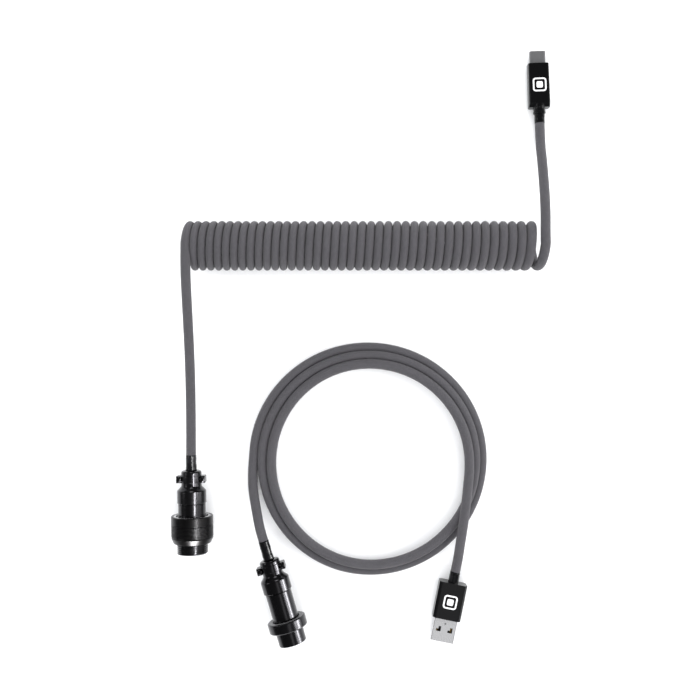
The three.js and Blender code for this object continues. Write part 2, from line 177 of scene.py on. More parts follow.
def effect_group(
    name: str, inputs: dict[str, str], outputs: Sequence[str]
) -> tuple[Graph, bpy.types.Node, bpy.types.Node]:
    """Starts a shader node group.

    Args:
        name: the group's name.
        inputs: each input's name and socket type.
        outputs: the names of its outputs, all values.

    Returns:
        Its graph, its input node and its output node.
    """
    tree = bpy.data.node_groups.new(name, "ShaderNodeTree")
    for label, kind in inputs.items():
        tree.interface.new_socket(label, in_out="INPUT", socket_type=kind)
    for label in outputs:
        tree.interface.new_socket(label, in_out="OUTPUT", socket_type="NodeSocketFloat")
    graph = Graph(tree)
    return graph, graph.add("NodeGroupInput"), graph.add("NodeGroupOutput")


def grain_group() -> bpy.types.NodeTree:
    """The grain of a worked surface: fine texture, and broad patches of handling.

    Returns:
        A group from a place and two scales to Fine and Broad.
    """
    inputs = {"Vector": "NodeSocketVector", "Fine Scale": "NodeSocketFloat", "Broad Scale": "NodeSocketFloat"}
    graph, start, end = effect_group("Surface grain", inputs, ["Fine", "Broad"])
    for label, detail in (("Fine", 3.0), ("Broad", 2.0)):
        texture = graph.add(
            "ShaderNodeTexNoise",
            {"Vector": start.outputs["Vector"], "Scale": start.outputs[f"{label} Scale"], "Detail": detail},
        )
        graph.feed(end.inputs[label], texture.outputs[0])
    return graph.tree


def wear_group() -> bpy.types.NodeTree:
    """Wear along edges: where a rounded-over surface would lean away from the real one, broken up by specks.

    Returns:
        A group from a place, a scale and an amount to Mask.
    """
    reach, flat_enough, steepness, raggedness = 0.00025, 0.97, 6.0, 1.6
    inputs = {"Vector": "NodeSocketVector", "Scale": "NodeSocketFloat", "Amount": "NodeSocketFloat"}
    graph, start, end = effect_group("Edge wear", inputs, ["Mask"])
    rounded = graph.add("ShaderNodeBevel", {"Radius": reach}, samples=4).outputs[0]
    flat = graph.add("ShaderNodeNewGeometry").outputs["Normal"]
    alike = graph.add("ShaderNodeVectorMath", {0: rounded, 1: flat}, operation="DOT_PRODUCT").outputs["Value"]
    convex = graph.math("MULTIPLY", graph.math("SUBTRACT", flat_enough, alike), steepness, clamp=True)
    speckle = graph.add("ShaderNodeTexNoise", {"Vector": start.outputs["Vector"], "Scale": start.outputs["Scale"]})
    broken = graph.math("MULTIPLY", convex, graph.math("POWER", speckle.outputs[0], raggedness))
    graph.feed(end.inputs["Mask"], graph.math("MULTIPLY", broken, start.outputs["Amount"], clamp=True))
    return graph.tree


def weave_group() -> bpy.types.NodeTree:
    """A two-over-two braid, from a map with length along U and one turn round in V, with shade painted into its
    grooves.

    Returns:
        A group from a map, a strand count and a pitch to Height, a mask of painted groove shade, and Tone.
    """
    threads, thread_depth = 4, 0.09
    inputs = {"Vector": "NodeSocketVector", "Strands": "NodeSocketFloat", "Pitch": "NodeSocketFloat"}
    graph, start, end = effect_group("Braid weave", inputs, ["Height", "Gap", "Tone"])
    split = graph.add("ShaderNodeSeparateXYZ", {0: start.outputs["Vector"]})
    along = graph.math("DIVIDE", split.outputs[0], start.outputs["Pitch"])
    around = graph.math("MULTIPLY", split.outputs[1], start.outputs["Strands"])
    bundles = []
    for operation in ("ADD", "SUBTRACT"):
        across = graph.math(operation, along, around)
        share = graph.math("FRACT", across)
        crown = graph.math("SINE", graph.math("MULTIPLY", share, math.pi))
        thread = graph.math("SINE", graph.math("MULTIPLY", share, threads * FULL_TURN))
        rise = graph.math("MULTIPLY_ADD", thread, thread_depth, graph.math("POWER", crown, 0.6))
        bundles.append((graph.math("FLOOR", across), rise))
    (first, first_height), (second, second_height) = bundles
    step = graph.math("FLOORED_MODULO", graph.math("SUBTRACT", first, second), 4.0)
    first_over = graph.math("LESS_THAN", step, 1.5)
    height = graph.add("ShaderNodeMix", {0: first_over, 2: second_height, 3: first_height}, data_type="FLOAT")
    number = graph.add("ShaderNodeMix", {0: first_over, 2: second, 3: first}, data_type="FLOAT")
    tone = graph.add("ShaderNodeTexWhiteNoise", {"W": number.outputs[0]}, noise_dimensions="1D")
    graph.feed(end.inputs["Height"], height.outputs[0])
    # Painted shade: darker where the weave is low, between the strands and between the threads in each strand.
    graph.feed(end.inputs["Gap"], graph.math("SUBTRACT", 1.0, graph.math("POWER", height.outputs[0], 0.5), clamp=True))
    graph.feed(end.inputs["Tone"], tone.outputs["Value"])
    return graph.tree


class Effects:
    """The shared effects, each built once when it is first used."""

    makers: dict[str, Callable[[], bpy.types.NodeTree]] = {
        "grain": grain_group,
        "wear": wear_group,
        "weave": weave_group,
    }
    made: dict[str, bpy.types.NodeTree] = {}

    @classmethod
    def place(cls, graph: Graph, effect: str, inputs: dict[str, Any]) -> bpy.types.Node:
        """Puts an effect into a material.

        Args:
            graph: the material's graph.
            effect: the effect's key.
            inputs: what its inputs get.

        Returns:
            The group's node.
        """
        if effect not in cls.made:
            cls.made[effect] = cls.makers[effect]()
        node = graph.add("ShaderNodeGroup", node_tree=cls.made[effect])
        for name, value in inputs.items():
            graph.feed(node.inputs[name], value)
        return node


# ------------------------------------------------------------------ finishes
class Slot(Enum):
    """The record's material slots."""

    BRAID = "braided_sleeve"
    SHRINK = "heat_shrink"
    JACKET = "inner_jacket"
    GOLD = "gold_plate"
    STEEL = "bright_steel"
    BADGE = "badge_inlay"
    PLASTIC = "black_plastic"
    BOARD = "circuit_board"
    METAL = "black_metal"


@dataclass(frozen=True)
class Finish:
    """One material of a hard piece, from its base values and its grain."""

    name: str
    slot: Slot
    colour: Colour
    roughness: float
    metallic: float = 0.0
    coat: float = 0.0
    coat_roughness: float = 0.1
    specular: float = 0.5
    stretch: Point = (1.0, 1.0, 1.0)
    fine_scale: float = 2600.0
    broad_scale: float = 160.0
    tone_spread: float = 0.1
    rough_spread: float = 0.1
    bump: float = 0.05
    worn: Colour = (0.3, 0.3, 0.31)
    wear: float = 0.0
    wear_scale: float = 1500.0

    def build(self) -> bpy.types.Material:
        """Makes the material.

        Returns:
            The material.
        """
        material = bpy.data.materials.new(self.name)
        material.use_nodes = True
        graph = Graph(material.node_tree)
        place = graph.add("ShaderNodeTexCoord").outputs["Object"]
        mapped = graph.add("ShaderNodeMapping", {"Vector": place, "Scale": self.stretch}).outputs[0]
        grain = Effects.place(
            graph, "grain", {"Vector": mapped, "Fine Scale": self.fine_scale, "Broad Scale": self.broad_scale}
        )
        fine, broad = grain.outputs["Fine"], grain.outputs["Broad"]
        wear = Effects.place(graph, "wear", {"Vector": place, "Scale": self.wear_scale, "Amount": self.wear})
        both = graph.mean(fine, broad)
        tone = graph.blend(wear.outputs["Mask"], graph.tones(both, self.colour, self.tone_spread), (*self.worn, 1.0))
        rough = graph.span(
            both, max(0.02, self.roughness - self.rough_spread), min(1.0, self.roughness + self.rough_spread)
        )
        bump = graph.add("ShaderNodeBump", {"Strength": self.bump, "Distance": 0.0002, "Height": fine})
        graph.surface({
            "Base Color": tone,
            "Roughness": rough,
            "Metallic": self.metallic,
            "Specular IOR Level": self.specular,
            "Coat Weight": self.coat,
            "Coat Roughness": self.coat_roughness,
            "Normal": bump.outputs[0],
        })
        return material


@dataclass(frozen=True)
class BraidFinish:
    """The woven sleeve of the cable, from the cable's own map, with shade painted into the grooves of the weave."""

    name: str = "grey_braid"
    slot: Slot = Slot.BRAID
    colour: Colour = (0.074, 0.0705, 0.078)
    # The colour of the painted shade in the weave's grooves.
    groove_shade_colour: Colour = (0.026, 0.025, 0.028)
    strands: float = 16.0
    pitch: float = 0.00115
    roughness: float = 0.72
    sheen: float = 0.12
    bump: float = 0.55
    tone_spread: float = 0.22
    strand_share: float = 0.35

    def build(self) -> bpy.types.Material:
        """Makes the material.

        Returns:
            The material.
        """
        material = bpy.data.materials.new(self.name)
        material.use_nodes = True
        graph = Graph(material.node_tree)
        place = graph.add("ShaderNodeUVMap", uv_map="UVMap").outputs[0]
        weave = Effects.place(graph, "weave", {"Vector": place, "Strands": self.strands, "Pitch": self.pitch})
        where = graph.add("ShaderNodeTexCoord").outputs["Object"]
        grain = Effects.place(graph, "grain", {"Vector": where, "Fine Scale": 5200.0, "Broad Scale": 60.0})
        fibre = graph.mean(grain.outputs["Fine"], grain.outputs["Broad"])
        strand = self.strand_share
        shade = graph.math("MULTIPLY_ADD", weave.outputs["Tone"], strand, graph.math("MULTIPLY", fibre, 1 - strand))
        sleeve = graph.tones(shade, self.colour, self.tone_spread)
        # Paints shade into the weave's grooves, from its height.
        tone = graph.blend(weave.outputs["Gap"], sleeve, (*self.groove_shade_colour, 1.0))
        bump = graph.add(
            "ShaderNodeBump", {"Strength": self.bump, "Distance": 0.00025, "Height": weave.outputs["Height"]}
        )
        graph.surface({
            "Base Color": tone,
            "Roughness": graph.span(fibre, self.roughness - 0.1, self.roughness + 0.12),
            "Specular IOR Level": 0.4,
            "Sheen Weight": self.sheen,
            "Sheen Roughness": 0.5,
            "Normal": bump.outputs[0],
        })
        return material


GREY_BRAID = BraidFinish()
BLACK_CHROME = Finish(
    "black_chrome", Slot.METAL, (0.032, 0.0315, 0.034), 0.24, metallic=1.0, coat=0.15, coat_roughness=0.12,
    fine_scale=3000, bump=0.025, tone_spread=0.12, rough_spread=0.05, wear=0.5,
)
SATIN_BLACK = Finish(
    "satin_black_metal", Slot.METAL, (0.011, 0.0107, 0.011), 0.32, metallic=1.0, coat=0.1, coat_roughness=0.3,
    stretch=(1, 1, 6), fine_scale=3200, bump=0.04, tone_spread=0.15, rough_spread=0.07, wear=0.5,
)
BLACK_GRIP = Finish(
    "black_grip_metal", Slot.METAL, (0.004, 0.004, 0.0045), 0.2, metallic=0.3, specular=0.3,
    stretch=(6, 1, 1), fine_scale=3000, broad_scale=40, bump=0.03, tone_spread=0.15, rough_spread=0.04, wear=0.5,
)
BLACK_SHRINK = Finish(
    "black_shrink_sleeve", Slot.SHRINK, (0.0035, 0.0035, 0.004), 0.2, specular=0.22, fine_scale=900, bump=0.1,
    broad_scale=420, tone_spread=0.25, rough_spread=0.08,
)
DARK_JACKET = Finish("dark_inner_jacket", Slot.JACKET, (0.03, 0.03, 0.034), 0.6, bump=0.1)
GOLD_PLATE = Finish(
    "gold_plate", Slot.GOLD, (0.83, 0.6, 0.26), 0.22, metallic=1.0, fine_scale=5200, bump=0.03, tone_spread=0.08,
)
DRAWN_STEEL = Finish(
    "drawn_steel", Slot.STEEL, (0.6, 0.6, 0.61), 0.26, metallic=0.85, stretch=(5, 1, 1), fine_scale=1900,
    bump=0.03, tone_spread=0.06, rough_spread=0.08, worn=(0.9, 0.9, 0.9), wear=0.3,
)
GREY_STEEL = Finish(
    "grey_steel", Slot.STEEL, (0.2, 0.2, 0.205), 0.42, metallic=0.6, stretch=(4, 1, 1), fine_scale=2000,
    bump=0.04, tone_spread=0.12, rough_spread=0.08, worn=(0.6, 0.6, 0.6), wear=0.3,
)
PALE_INLAY = Finish("pale_inlay", Slot.BADGE, (0.78, 0.78, 0.78), 0.38, fine_scale=3400, bump=0.06, tone_spread=0.05)
BLACK_PLASTIC = Finish("black_moulding", Slot.PLASTIC, (0.018, 0.018, 0.02), 0.45, bump=0.12, tone_spread=0.2)
GREEN_BOARD = Finish("green_board", Slot.BOARD, (0.02, 0.12, 0.05), 0.4, bump=0.05)


class Dresser:
    """Gives pieces and CAD nodes their finishes."""

    built: dict[str, bpy.types.Material] = {}

    @classmethod
    def dress(cls, piece: bpy.types.Object, finish: Finish | BraidFinish) -> None:
        """Puts a finish on a piece, in every slot it has.

        Args:
            piece: a mesh object.
            finish: its finish.
        """
        if finish.name not in cls.built:
            cls.built[finish.name] = finish.build()
        slots = piece.data.materials
        for i in range(len(slots)):
            slots[i] = cls.built[finish.name]
        if not slots:
            slots.append(cls.built[finish.name])


# ------------------------------------------------------------------ mesh steps, in millimetres
def make_object(bm: BMesh, name: str, smooth_deg: float) -> bpy.types.Object:
    """Turns a mesh into an object in the scene.

    Args:
        bm: the mesh, which is used up.
        name: the object's name.
        smooth_deg: the sharpest turn that is shaded smooth.

    Returns:
        The object.
    """
    mesh = bpy.data.meshes.new(name)
    bm.to_mesh(mesh)
    bm.free()
    mesh.shade_smooth()
    mesh.set_sharp_from_angle(angle=math.radians(smooth_deg))
    thing = bpy.data.objects.new(name, mesh)
    bpy.context.scene.collection.objects.link(thing)
    return thing


def turned(bm: BMesh, outline: Sequence[tuple[float, float]], segments: int = 96, closed: bool = True) -> None:
    """Spins an outline about Y.

    Args:
        bm: the mesh to add to.
        outline: corners as radius and y.
        segments: steps in the full turn.
        closed: whether the last corner joins the first, as in a ring.
    """
    verts = [bm.verts.new((radius, y, 0)) for radius, y in outline]
    edges = [bm.edges.new(pair) for pair in zip(verts, verts[1:])]
    if closed:
        edges.append(bm.edges.new((verts[-1], verts[0])))
    bmesh.ops.spin(
        bm, geom=verts + edges, cent=(0, 0, 0), axis=(0, 1, 0), angle=FULL_TURN, steps=segments, use_merge=True
    )
    bmesh.ops.remove_doubles(bm, verts=bm.verts, dist=1e-4)
    bmesh.ops.recalc_face_normals(bm, faces=bm.faces)


def block(bm: BMesh, low: Point, high: Point, corner: float = 0.0, steps: int = 5) -> list[BMFace]:
    """Adds a box whose four edges along Y are rounded.

    Args:
        bm: the mesh to add to.
        low: its lowest corner.
        high: its highest corner.
        corner: the radius of the long edges.
        steps: faces in each rounded corner.

    Returns:
        Its faces.
    """
    size = Vector(high) - Vector(low)
    middle = (Vector(high) + Vector(low)) / 2
    matrix = Matrix.Translation(middle) @ Matrix.Diagonal((*size, 1))
    verts = bmesh.ops.create_cube(bm, size=1, matrix=matrix)["verts"]
    if corner:
        round_edges(bm, {e for v in verts for e in v.link_edges if along_axis(e, 1)}, corner, steps)
    bm.faces.ensure_lookup_table()
    return [f for f in bm.faces if all(inside(v.co, low, high) for v in f.verts)]


def along_axis(edge: BMEdge, axis: int) -> bool:
    """Whether an edge runs along an axis, by the axis's number."""
    return abs((edge.verts[0].co - edge.verts[1].co).normalized()[axis]) > 0.9


def inside(point: Vector, low: Point, high: Point) -> bool:
    """Whether a point is in a box, its faces included."""
    return all(a - 1e-3 <= p <= b + 1e-3 for p, a, b in zip(point, low, high))


def round_edges(bm: BMesh, edges: Iterable[BMEdge], width: float, steps: int = 2) -> None:
    """Bevels edges.

    Args:
        bm: the mesh.
        edges: the edges to bevel.
        width: how far the bevel reaches from each edge.
        steps: faces across the bevel.
    """
    bmesh.ops.bevel(
        bm, geom=list(edges), offset=width, offset_type="OFFSET", segments=steps, profile=0.5, affect="EDGES",
        material=-1, clamp_overlap=True,
    )


def sharp_edges(bm: BMesh, where: Callable[[Vector], bool] | None = None, angle_deg: float = 28) -> list[BMEdge]:
    """Finds the edges where the surface turns sharply.

    Args:
        bm: the mesh.
        where: a test for the edge's middle.
        angle_deg: the least turn.

    Returns:
        The edges.
    """
    least = math.radians(angle_deg)
    return [
        e
        for e in bm.edges
        if e.is_manifold
        and e.calc_face_angle() > least
        and (where is None or where((e.verts[0].co + e.verts[1].co) / 2))
    ]


def cut_across(bm: BMesh, axis: int, values: Iterable[float]) -> None:
    """Cuts the whole mesh along planes, and keeps both sides.

    Args:
        bm: the mesh.
        axis: 0, 1 or 2 for the planes' normal.
        values: where the planes are.
    """
    normal = [0.0, 0.0, 0.0]
    normal[axis] = 1.0
    for value in values:
        bmesh.ops.bisect_plane(
            bm, geom=[*bm.verts, *bm.edges, *bm.faces], plane_co=[n * value for n in normal], plane_no=normal
        )


def sink(bm: BMesh, faces: list[BMFace], shift: Point) -> list[BMFace]:
    """Extrudes a region of faces and moves it.

    Args:
        bm: the mesh.
        faces: the region.
        shift: how far its faces move.

    Returns:
        The moved faces.
    """
    made = bmesh.ops.extrude_face_region(bm, geom=faces)["geom"]
    bmesh.ops.delete(bm, geom=faces, context="FACES_ONLY")
    bmesh.ops.translate(bm, verts=[g for g in made if isinstance(g, bmesh.types.BMVert)], vec=shift)
    return [g for g in made if isinstance(g, BMFace)]


def facing(faces: Iterable[BMFace], direction: Point, least: float = 0.95) -> list[BMFace]:
    """The faces that look along a unit vector, by the least cosine that counts."""
    return [f for f in faces if f.normal.dot(Vector(direction)) > least]


# ------------------------------------------------------------------ connectors
@dataclass
class Connector:
    """What every connector shares: its place in the frame and the body that it rides on."""

    record: dict[str, Any]
    body: str
    prefix: str
    mount: str
    reach: float
    rise: float
    matrix: Matrix = field(init=False)

    def __post_init__(self) -> None:
        """Works out the connector's frame from the mount on its mouth."""
        mount = next(m for m in self.record["mounts"] if m["name"] == self.mount)
        forward = Vector(mount["axis"]).normalized()
        start = Vector(mount["pos_m"]) - forward * self.reach * MM - Vector((0, 0, self.rise * MM))
        turn = math.atan2(-forward.x, forward.y)
        self.matrix = Matrix.Translation(start) @ Matrix.Rotation(turn, 4, "Z") @ Matrix.Scale(MM, 4)

    def piece(
        self,
        bm: BMesh,
        name: str,
        finish: Finish,
        nodes: Sequence[str] | None = None,
        smooth_deg: float = 32,
        body: str | None = None,
    ) -> bpy.types.Object:
        """Turns a mesh in the connector's frame into a finished piece.

        Args:
            bm: the mesh, which is used up.
            name: the piece's name after the connector's own.
            finish: its finish.
            nodes: the CAD nodes that it stands for, if they aren't the one of its own name.
            smooth_deg: the sharpest turn that is shaded smooth.
            body: the body that it rides on, if it isn't the connector's.

        Returns:
            The object.
        """
        bmesh.ops.transform(bm, matrix=self.matrix, verts=bm.verts)
        thing = make_object(bm, f"{self.prefix}.{name}", smooth_deg)
        even = thing.modifiers.new("even_shading", "WEIGHTED_NORMAL")
        even.keep_sharp = True
        Dresser.dress(thing, finish)
        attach(thing, body or self.body)
        if nodes is None:
            nodes = [f"{self.prefix}_{name}"]
        if nodes:
            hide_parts(*nodes)
        LOG.info("%s: %d faces", thing.name, len(thing.data.polygons))
        return thing

    def keep_nodes(self, frame: dict[str, Any], **finishes: Finish) -> None:
        """Dresses the CAD nodes that stay, each named after the connector's prefix."""
        for node, finish in finishes.items():
            Dresser.dress(frame["nodes"][f"{self.prefix}_{node}"], finish)

    def shrink_sleeve(self, radius: float, length: float, flare: float) -> None:
        """The sleeve shrunk over the cable's end, with the lumps it shows over the braid.

        Args:
            radius: its outer radius.
            length: its length.
            flare: how much wider its connector end is.
        """
        steps, ripple, wall, gap, lump, lump_scale = 16, 0.06, 0.45, 0.1, 0.16, 0.55
        bm = bmesh.new()
        outer = [
            (radius + flare * (i / steps) ** 2 + ripple * math.sin(2.6 * i), gap + (length - 2 * gap) * i / steps)
            for i in range(steps + 1)
        ]
        bore = radius - wall
        turned(bm, [*outer, (bore, length - gap), (bore, gap)], segments=40)
        for vert in bm.verts:
            swell = noise.noise(vert.co * lump_scale + Vector((self.reach, 0, 0))) * lump
            side = Vector((vert.co.x, 0, vert.co.z))
            if side.length > bore + 0.1:
                vert.co += side.normalized() * swell
        round_edges(bm, sharp_edges(bm, angle_deg=60), 0.14, 2)
        self.piece(bm, "shrink", BLACK_SHRINK, [f"{self.prefix}_heat_shrink"], smooth_deg=50)


@dataclass
class RoundConnector(Connector):
    """A round connector: the rear half, which the socket and the plug share, and the starts of their own pieces."""

    rear: float = 7.8
    neck_radius: float = 5.15
    neck_length: float = 8.4
    shoulder: float = 2.1
    shell_radius: float = 7.35
    shell_length: float = 16.5
    clamp_from: float = 2.5
    clamp_length: float = 3.6
    clamp_width: float = 14.7
    arch_inner: float = 4.6
    arch_outer: float = 5.5
    bar_from: float = 1.0
    bar_top: float = 3.0
    screw_offset: float = 5.95
    body_radius: float = 6.95
    body_from: float = 24.3
    contact_circle: float = 4.2
    contact_count: int = 5

    def backshell(self) -> None:
        """The rear shell: rounded neck, sloped shoulder and cylinder, with the clamp's lower ears."""
        rear, neck_end = self.rear, self.rear + self.neck_length
        end, shoulder_end = rear + self.shell_length, neck_end + self.shoulder
        bore, front_bore = 3.0, 6.35
        bm = bmesh.new()
        turned(
            bm,
            [
                (bore, rear), (4.1, rear), (4.75, rear + 0.25), (5.05, rear + 0.75), (self.neck_radius, rear + 1.4),
                (self.neck_radius, neck_end - 0.9), (5.4, neck_end - 0.25), (5.95, neck_end + 0.35),
                (6.75, neck_end + 1.15), (7.2, shoulder_end - 0.45), (self.shell_radius, shoulder_end + 0.1),
                (self.shell_radius, end - 0.25), (self.shell_radius - 0.25, end), (front_bore, end),
                (front_bore, end - 4), (bore, end - 5.4),
            ],
        )
        y0, y1 = rear + self.clamp_from, rear + self.clamp_from + self.clamp_length
        half = self.clamp_width / 2
        for side in (-1, 1):
            x0, x1 = sorted((side * 3.7, side * half))
            ear = block(bm, (x0, y0, -2.4), (x1, y1, 0.7))
            outer = {e for f in ear for e in f.edges if all(abs(v.co.x) > half - 0.01 for v in e.verts)}
            round_edges(bm, outer, 0.5, 3)
        self.piece(bm, "backshell", BLACK_CHROME)

    def clamp(self) -> None:
        """The bar that clamps the cable, an arch between two ears, and its two slotted screws."""
        y0 = self.rear + self.clamp_from
        y1 = y0 + self.clamp_length
        half = self.clamp_width / 2
        bm = bmesh.new()
        inner, outer = self.arch_inner, self.arch_outer
        ends = [bm.verts.new(c) for c in ((inner, y0, 0), (outer, y0, 0), (outer, y1, 0), (inner, y1, 0))]
        arch = bm.faces.new(ends)
        low = math.asin(self.bar_from / outer)
        bmesh.ops.rotate(bm, verts=ends, cent=(0, 0, 0), matrix=Matrix.Rotation(-low, 3, "Y"))
        bmesh.ops.spin(
            bm, geom=[arch, *arch.verts, *arch.edges], cent=(0, 0, 0), axis=(0, 1, 0), angle=-(math.pi - 2 * low),
            steps=36, use_merge=False,
        )
        bmesh.ops.remove_doubles(bm, verts=bm.verts, dist=1e-4)
        bmesh.ops.recalc_face_normals(bm, faces=bm.faces)
        for side in (-1, 1):
            x0, x1 = sorted((side * 4.8, side * half))
            block(bm, (x0, y0, self.bar_from), (x1, y1, self.bar_top))
        round_edges(bm, sharp_edges(bm, angle_deg=60), 0.22, 2)
        self.piece(bm, "clamp_bar", BLACK_CHROME)
        for number, side in ((1, -1), (2, 1)):
            self.screw(number, side * self.screw_offset, (y0 + y1) / 2)

    def screw(self, number: int, x: float, y: float) -> None:
        """A small pan-head screw with a slot.

        Args:
            number: its number.
            x: where it stands across the clamp.
            y: where it stands along the connector.
        """
        shank, head, half_slot, slot_depth = 0.85, 1.3, 0.2, 0.45
        bm = bmesh.new()
        turned(
            bm,
            [(0, -2.2), (shank, -2.2), (shank, 3.05), (head, 3.05), (head, 3.55), (1.18, 3.85), (0.9, 4.0), (0, 4.0)],
            segments=32, closed=False,
        )
        bmesh.ops.rotate(bm, verts=bm.verts, cent=(0, 0, 0), matrix=Matrix.Rotation(math.pi / 2, 3, "X"))
        cut_across(bm, 0, (-half_slot, half_slot))
        slot = [f for f in facing(bm.faces, (0, 0, 1)) if abs(f.calc_center_median().x) < half_slot]
        sink(bm, slot, (0, 0, -slot_depth))
        bmesh.ops.rotate(bm, verts=bm.verts, cent=(0, 0, 0), matrix=Matrix.Rotation(0.7 * number, 3, "Z"))
        bmesh.ops.translate(bm, verts=bm.verts, vec=(x, y, 0))
        self.piece(bm, f"clamp_screw_{number}", BLACK_CHROME)

    def spigot(self) -> list[tuple[float, float]]:
        """Starts the barrel's outline: the spigot inside the backshell, and the body's rear edge."""
        start, radius = self.body_from, self.body_radius
        return [
            (5.6, start - 3.5), (6.1, start - 3.5), (6.1, start + 0.3), (radius - 0.2, start + 0.3),
            (radius, start + 0.5),
        ]

    def rear_half(self, sleeve_radius: float, sleeve_flare: float) -> None:
        """Builds the pieces behind the barrel: the sleeve, the backshell and the clamp."""
        self.shrink_sleeve(sleeve_radius, self.rear, sleeve_flare)
        self.backshell()
        self.clamp()

    def flat_ring(
        self,
        name: str,
        radii: tuple[float, float],
        place: tuple[float, float],
        finish: Finish,
        body: str,
        nodes: Sequence[str] = (),
    ) -> None:
        """A flat ring round the axis: a washer, or the bright machined face of a dark ring.

        Args:
            name: its name.
            radii: its inner and outer radius.
            place: where it starts and ends along the connector.
            finish: its finish.
            body: the body that it rides on.
            nodes: the CAD nodes that it stands for.
        """
        (inner, outer), (start, end) = radii, place
        bm = bmesh.new()
        turned(bm, [(inner, start), (outer, start), (outer, end), (inner, end)], segments=112)
        round_edges(bm, sharp_edges(bm, angle_deg=60), 0.04, 2)
        self.piece(bm, name, finish, nodes, body=body)

    def contact_places(self) -> list[tuple[float, float]]:
        """Where the contacts are, as x and z from the axis."""
        angles = [math.pi / 2 + FULL_TURN * i / self.contact_count for i in range(self.contact_count)]
        return [(self.contact_circle * math.cos(a), self.contact_circle * math.sin(a)) for a in angles]


@dataclass
class Socket(RoundConnector):
    """The threaded round socket with pins and a ribbed lock ring."""

    body_end: float = 30.7
    root_radius: float = 7.42
    crest_radius: float = 7.8
    thread_pitch: float = 1.0
    nose_end: float = 49.9
    bore_radius: float = 7.05
    ring_from: float = 30.7
    ring_length: float = 13.7
    ring_radius: float = 10.65

    def barrel(self) -> None:
        """The body and the threaded nose."""
        bm = bmesh.new()
        turned(
            bm,
            [
                *self.spigot(), (self.body_radius, self.body_end), (self.root_radius, self.body_end),
                (self.root_radius, self.nose_end - 0.3), (self.root_radius - 0.2, self.nose_end),
                (self.bore_radius + 0.05, self.nose_end), (self.bore_radius - 0.1, self.nose_end - 0.3),
                (self.bore_radius - 0.1, 38.3), (6.6, 38.3), (6.6, 33.2), (5.6, 33.2),
            ],
        )
        self.thread(bm)
        self.piece(bm, "barrel", BLACK_CHROME)

    def thread(self, bm: BMesh) -> None:
        """Adds the outside thread: a flat-topped ridge wound along the nose.

        Args:
            bm: the barrel's mesh.
        """
        turns, steps = 18, 60
        start, pitch, foot = self.body_end + 0.6, self.thread_pitch, self.root_radius - 0.1
        corners = [(foot, 0.0), (self.crest_radius, pitch * 0.3), (self.crest_radius, pitch * 0.5), (foot, pitch * 0.8)]
        verts = [bm.verts.new((radius, start + y, 0)) for radius, y in corners]
        ridge = bm.faces.new(verts)
        result = bmesh.ops.spin(
            bm, geom=[ridge, *ridge.verts, *ridge.edges], cent=(0, 0, 0), axis=(0, 1, 0), angle=FULL_TURN * turns,
            dvec=(0, pitch / steps, 0), steps=steps * turns, use_merge=False,
        )
        last = {f for f in result["geom_last"] if isinstance(f, BMFace)}
        wound = {f for f in bm.faces if any(v.co.xz.length > self.root_radius + 0.05 for v in f.verts)}
        bmesh.ops.recalc_face_normals(bm, faces=list(wound | last))

    def insert_and_pins(self) -> None:
        """The insulator in the bore, and its five pins."""
        bm = bmesh.new()
        turned(bm, [(0, 33.5), (6.3, 33.5), (6.3, 37.75), (6.05, 38.0), (0, 38.0)], closed=False)
        for x, z in self.contact_places():
            collar = bmesh.new()
            turned(collar, [(0.85, 37.9), (1.35, 37.9), (1.35, 38.25), (1.2, 38.4), (0.85, 38.4)], segments=24)
            bmesh.ops.translate(collar, verts=collar.verts, vec=(x, 0, z))
            add_mesh(bm, collar)
        self.piece(bm, "insert", BLACK_PLASTIC)
        for i, (x, z) in enumerate(self.contact_places(), 1):
            bm = bmesh.new()
            turned(
                bm,
                [(0, 30.5), (0.75, 30.5), (0.75, 45.0), (0.68, 45.35), (0.48, 45.65), (0.22, 45.8), (0, 45.82)],
                segments=24, closed=False,
            )
            bmesh.ops.translate(bm, verts=bm.verts, vec=(x, 0, z))
            self.piece(bm, f"pin_{i}", GOLD_PLATE)

    def lock_ring(self) -> None:
        """The lock ring: recessed rear face, smooth band, band of fine ribs and chamfered front."""
        start, radius = self.ring_from, self.ring_radius
        end = start + self.ring_length
        bore = self.crest_radius + 0.25
        recess_depth, recess_radius = 1.4, 9.3
        smooth_end = start + 4.6
        rib_pitch, rib_depth, ribs = 0.66, 0.4, 9
        outline = [
            (bore, start + recess_depth), (recess_radius, start + recess_depth), (recess_radius, start + 0.15),
            (recess_radius + 0.15, start), (radius - 0.3, start),
            (radius, start + 0.3), (radius, smooth_end - 0.15), (radius - 0.25, smooth_end),
        ]
        for i in range(ribs):
            y, root, crest = smooth_end + 0.12 + i * rib_pitch, radius - rib_depth, radius - 0.02
            outline += [(root, y), (crest, y + 0.14), (crest, y + 0.36), (root, y + 0.5)]
        outline += [
            (radius - 0.2, end - 2.6), (radius - 0.08, end - 2.5), (9.5, end - 0.15), (9.35, end),
            (bore + 0.3, end), (bore, end - 0.3),
        ]
        bm = bmesh.new()
        turned(bm, outline, segments=112)
        self.piece(bm, "lock_ring", SATIN_BLACK, ["lock_ring"], smooth_deg=25, body="lock_ring")
        face = (start + 0.08, start + 0.26)
        self.flat_ring("lock_ring_face", (bore + 0.1, 9.28), face, DRAWN_STEEL, "lock_ring")
        washer = (start + 0.3, start + 1.1)
        self.flat_ring("washer", (8.15, 9.0), washer, BLACK_PLASTIC, "lock_ring_washer", ["lock_ring_washer"])

    def build(self, frame: dict[str, Any]) -> None:
        """Builds and dresses the whole connector.

        Args:
            frame: the loaded frame.
        """
        self.rear_half(2.68, 0.05)
        self.barrel()
        self.insert_and_pins()
        self.lock_ring()
        self.keep_nodes(frame, core=DARK_JACKET)


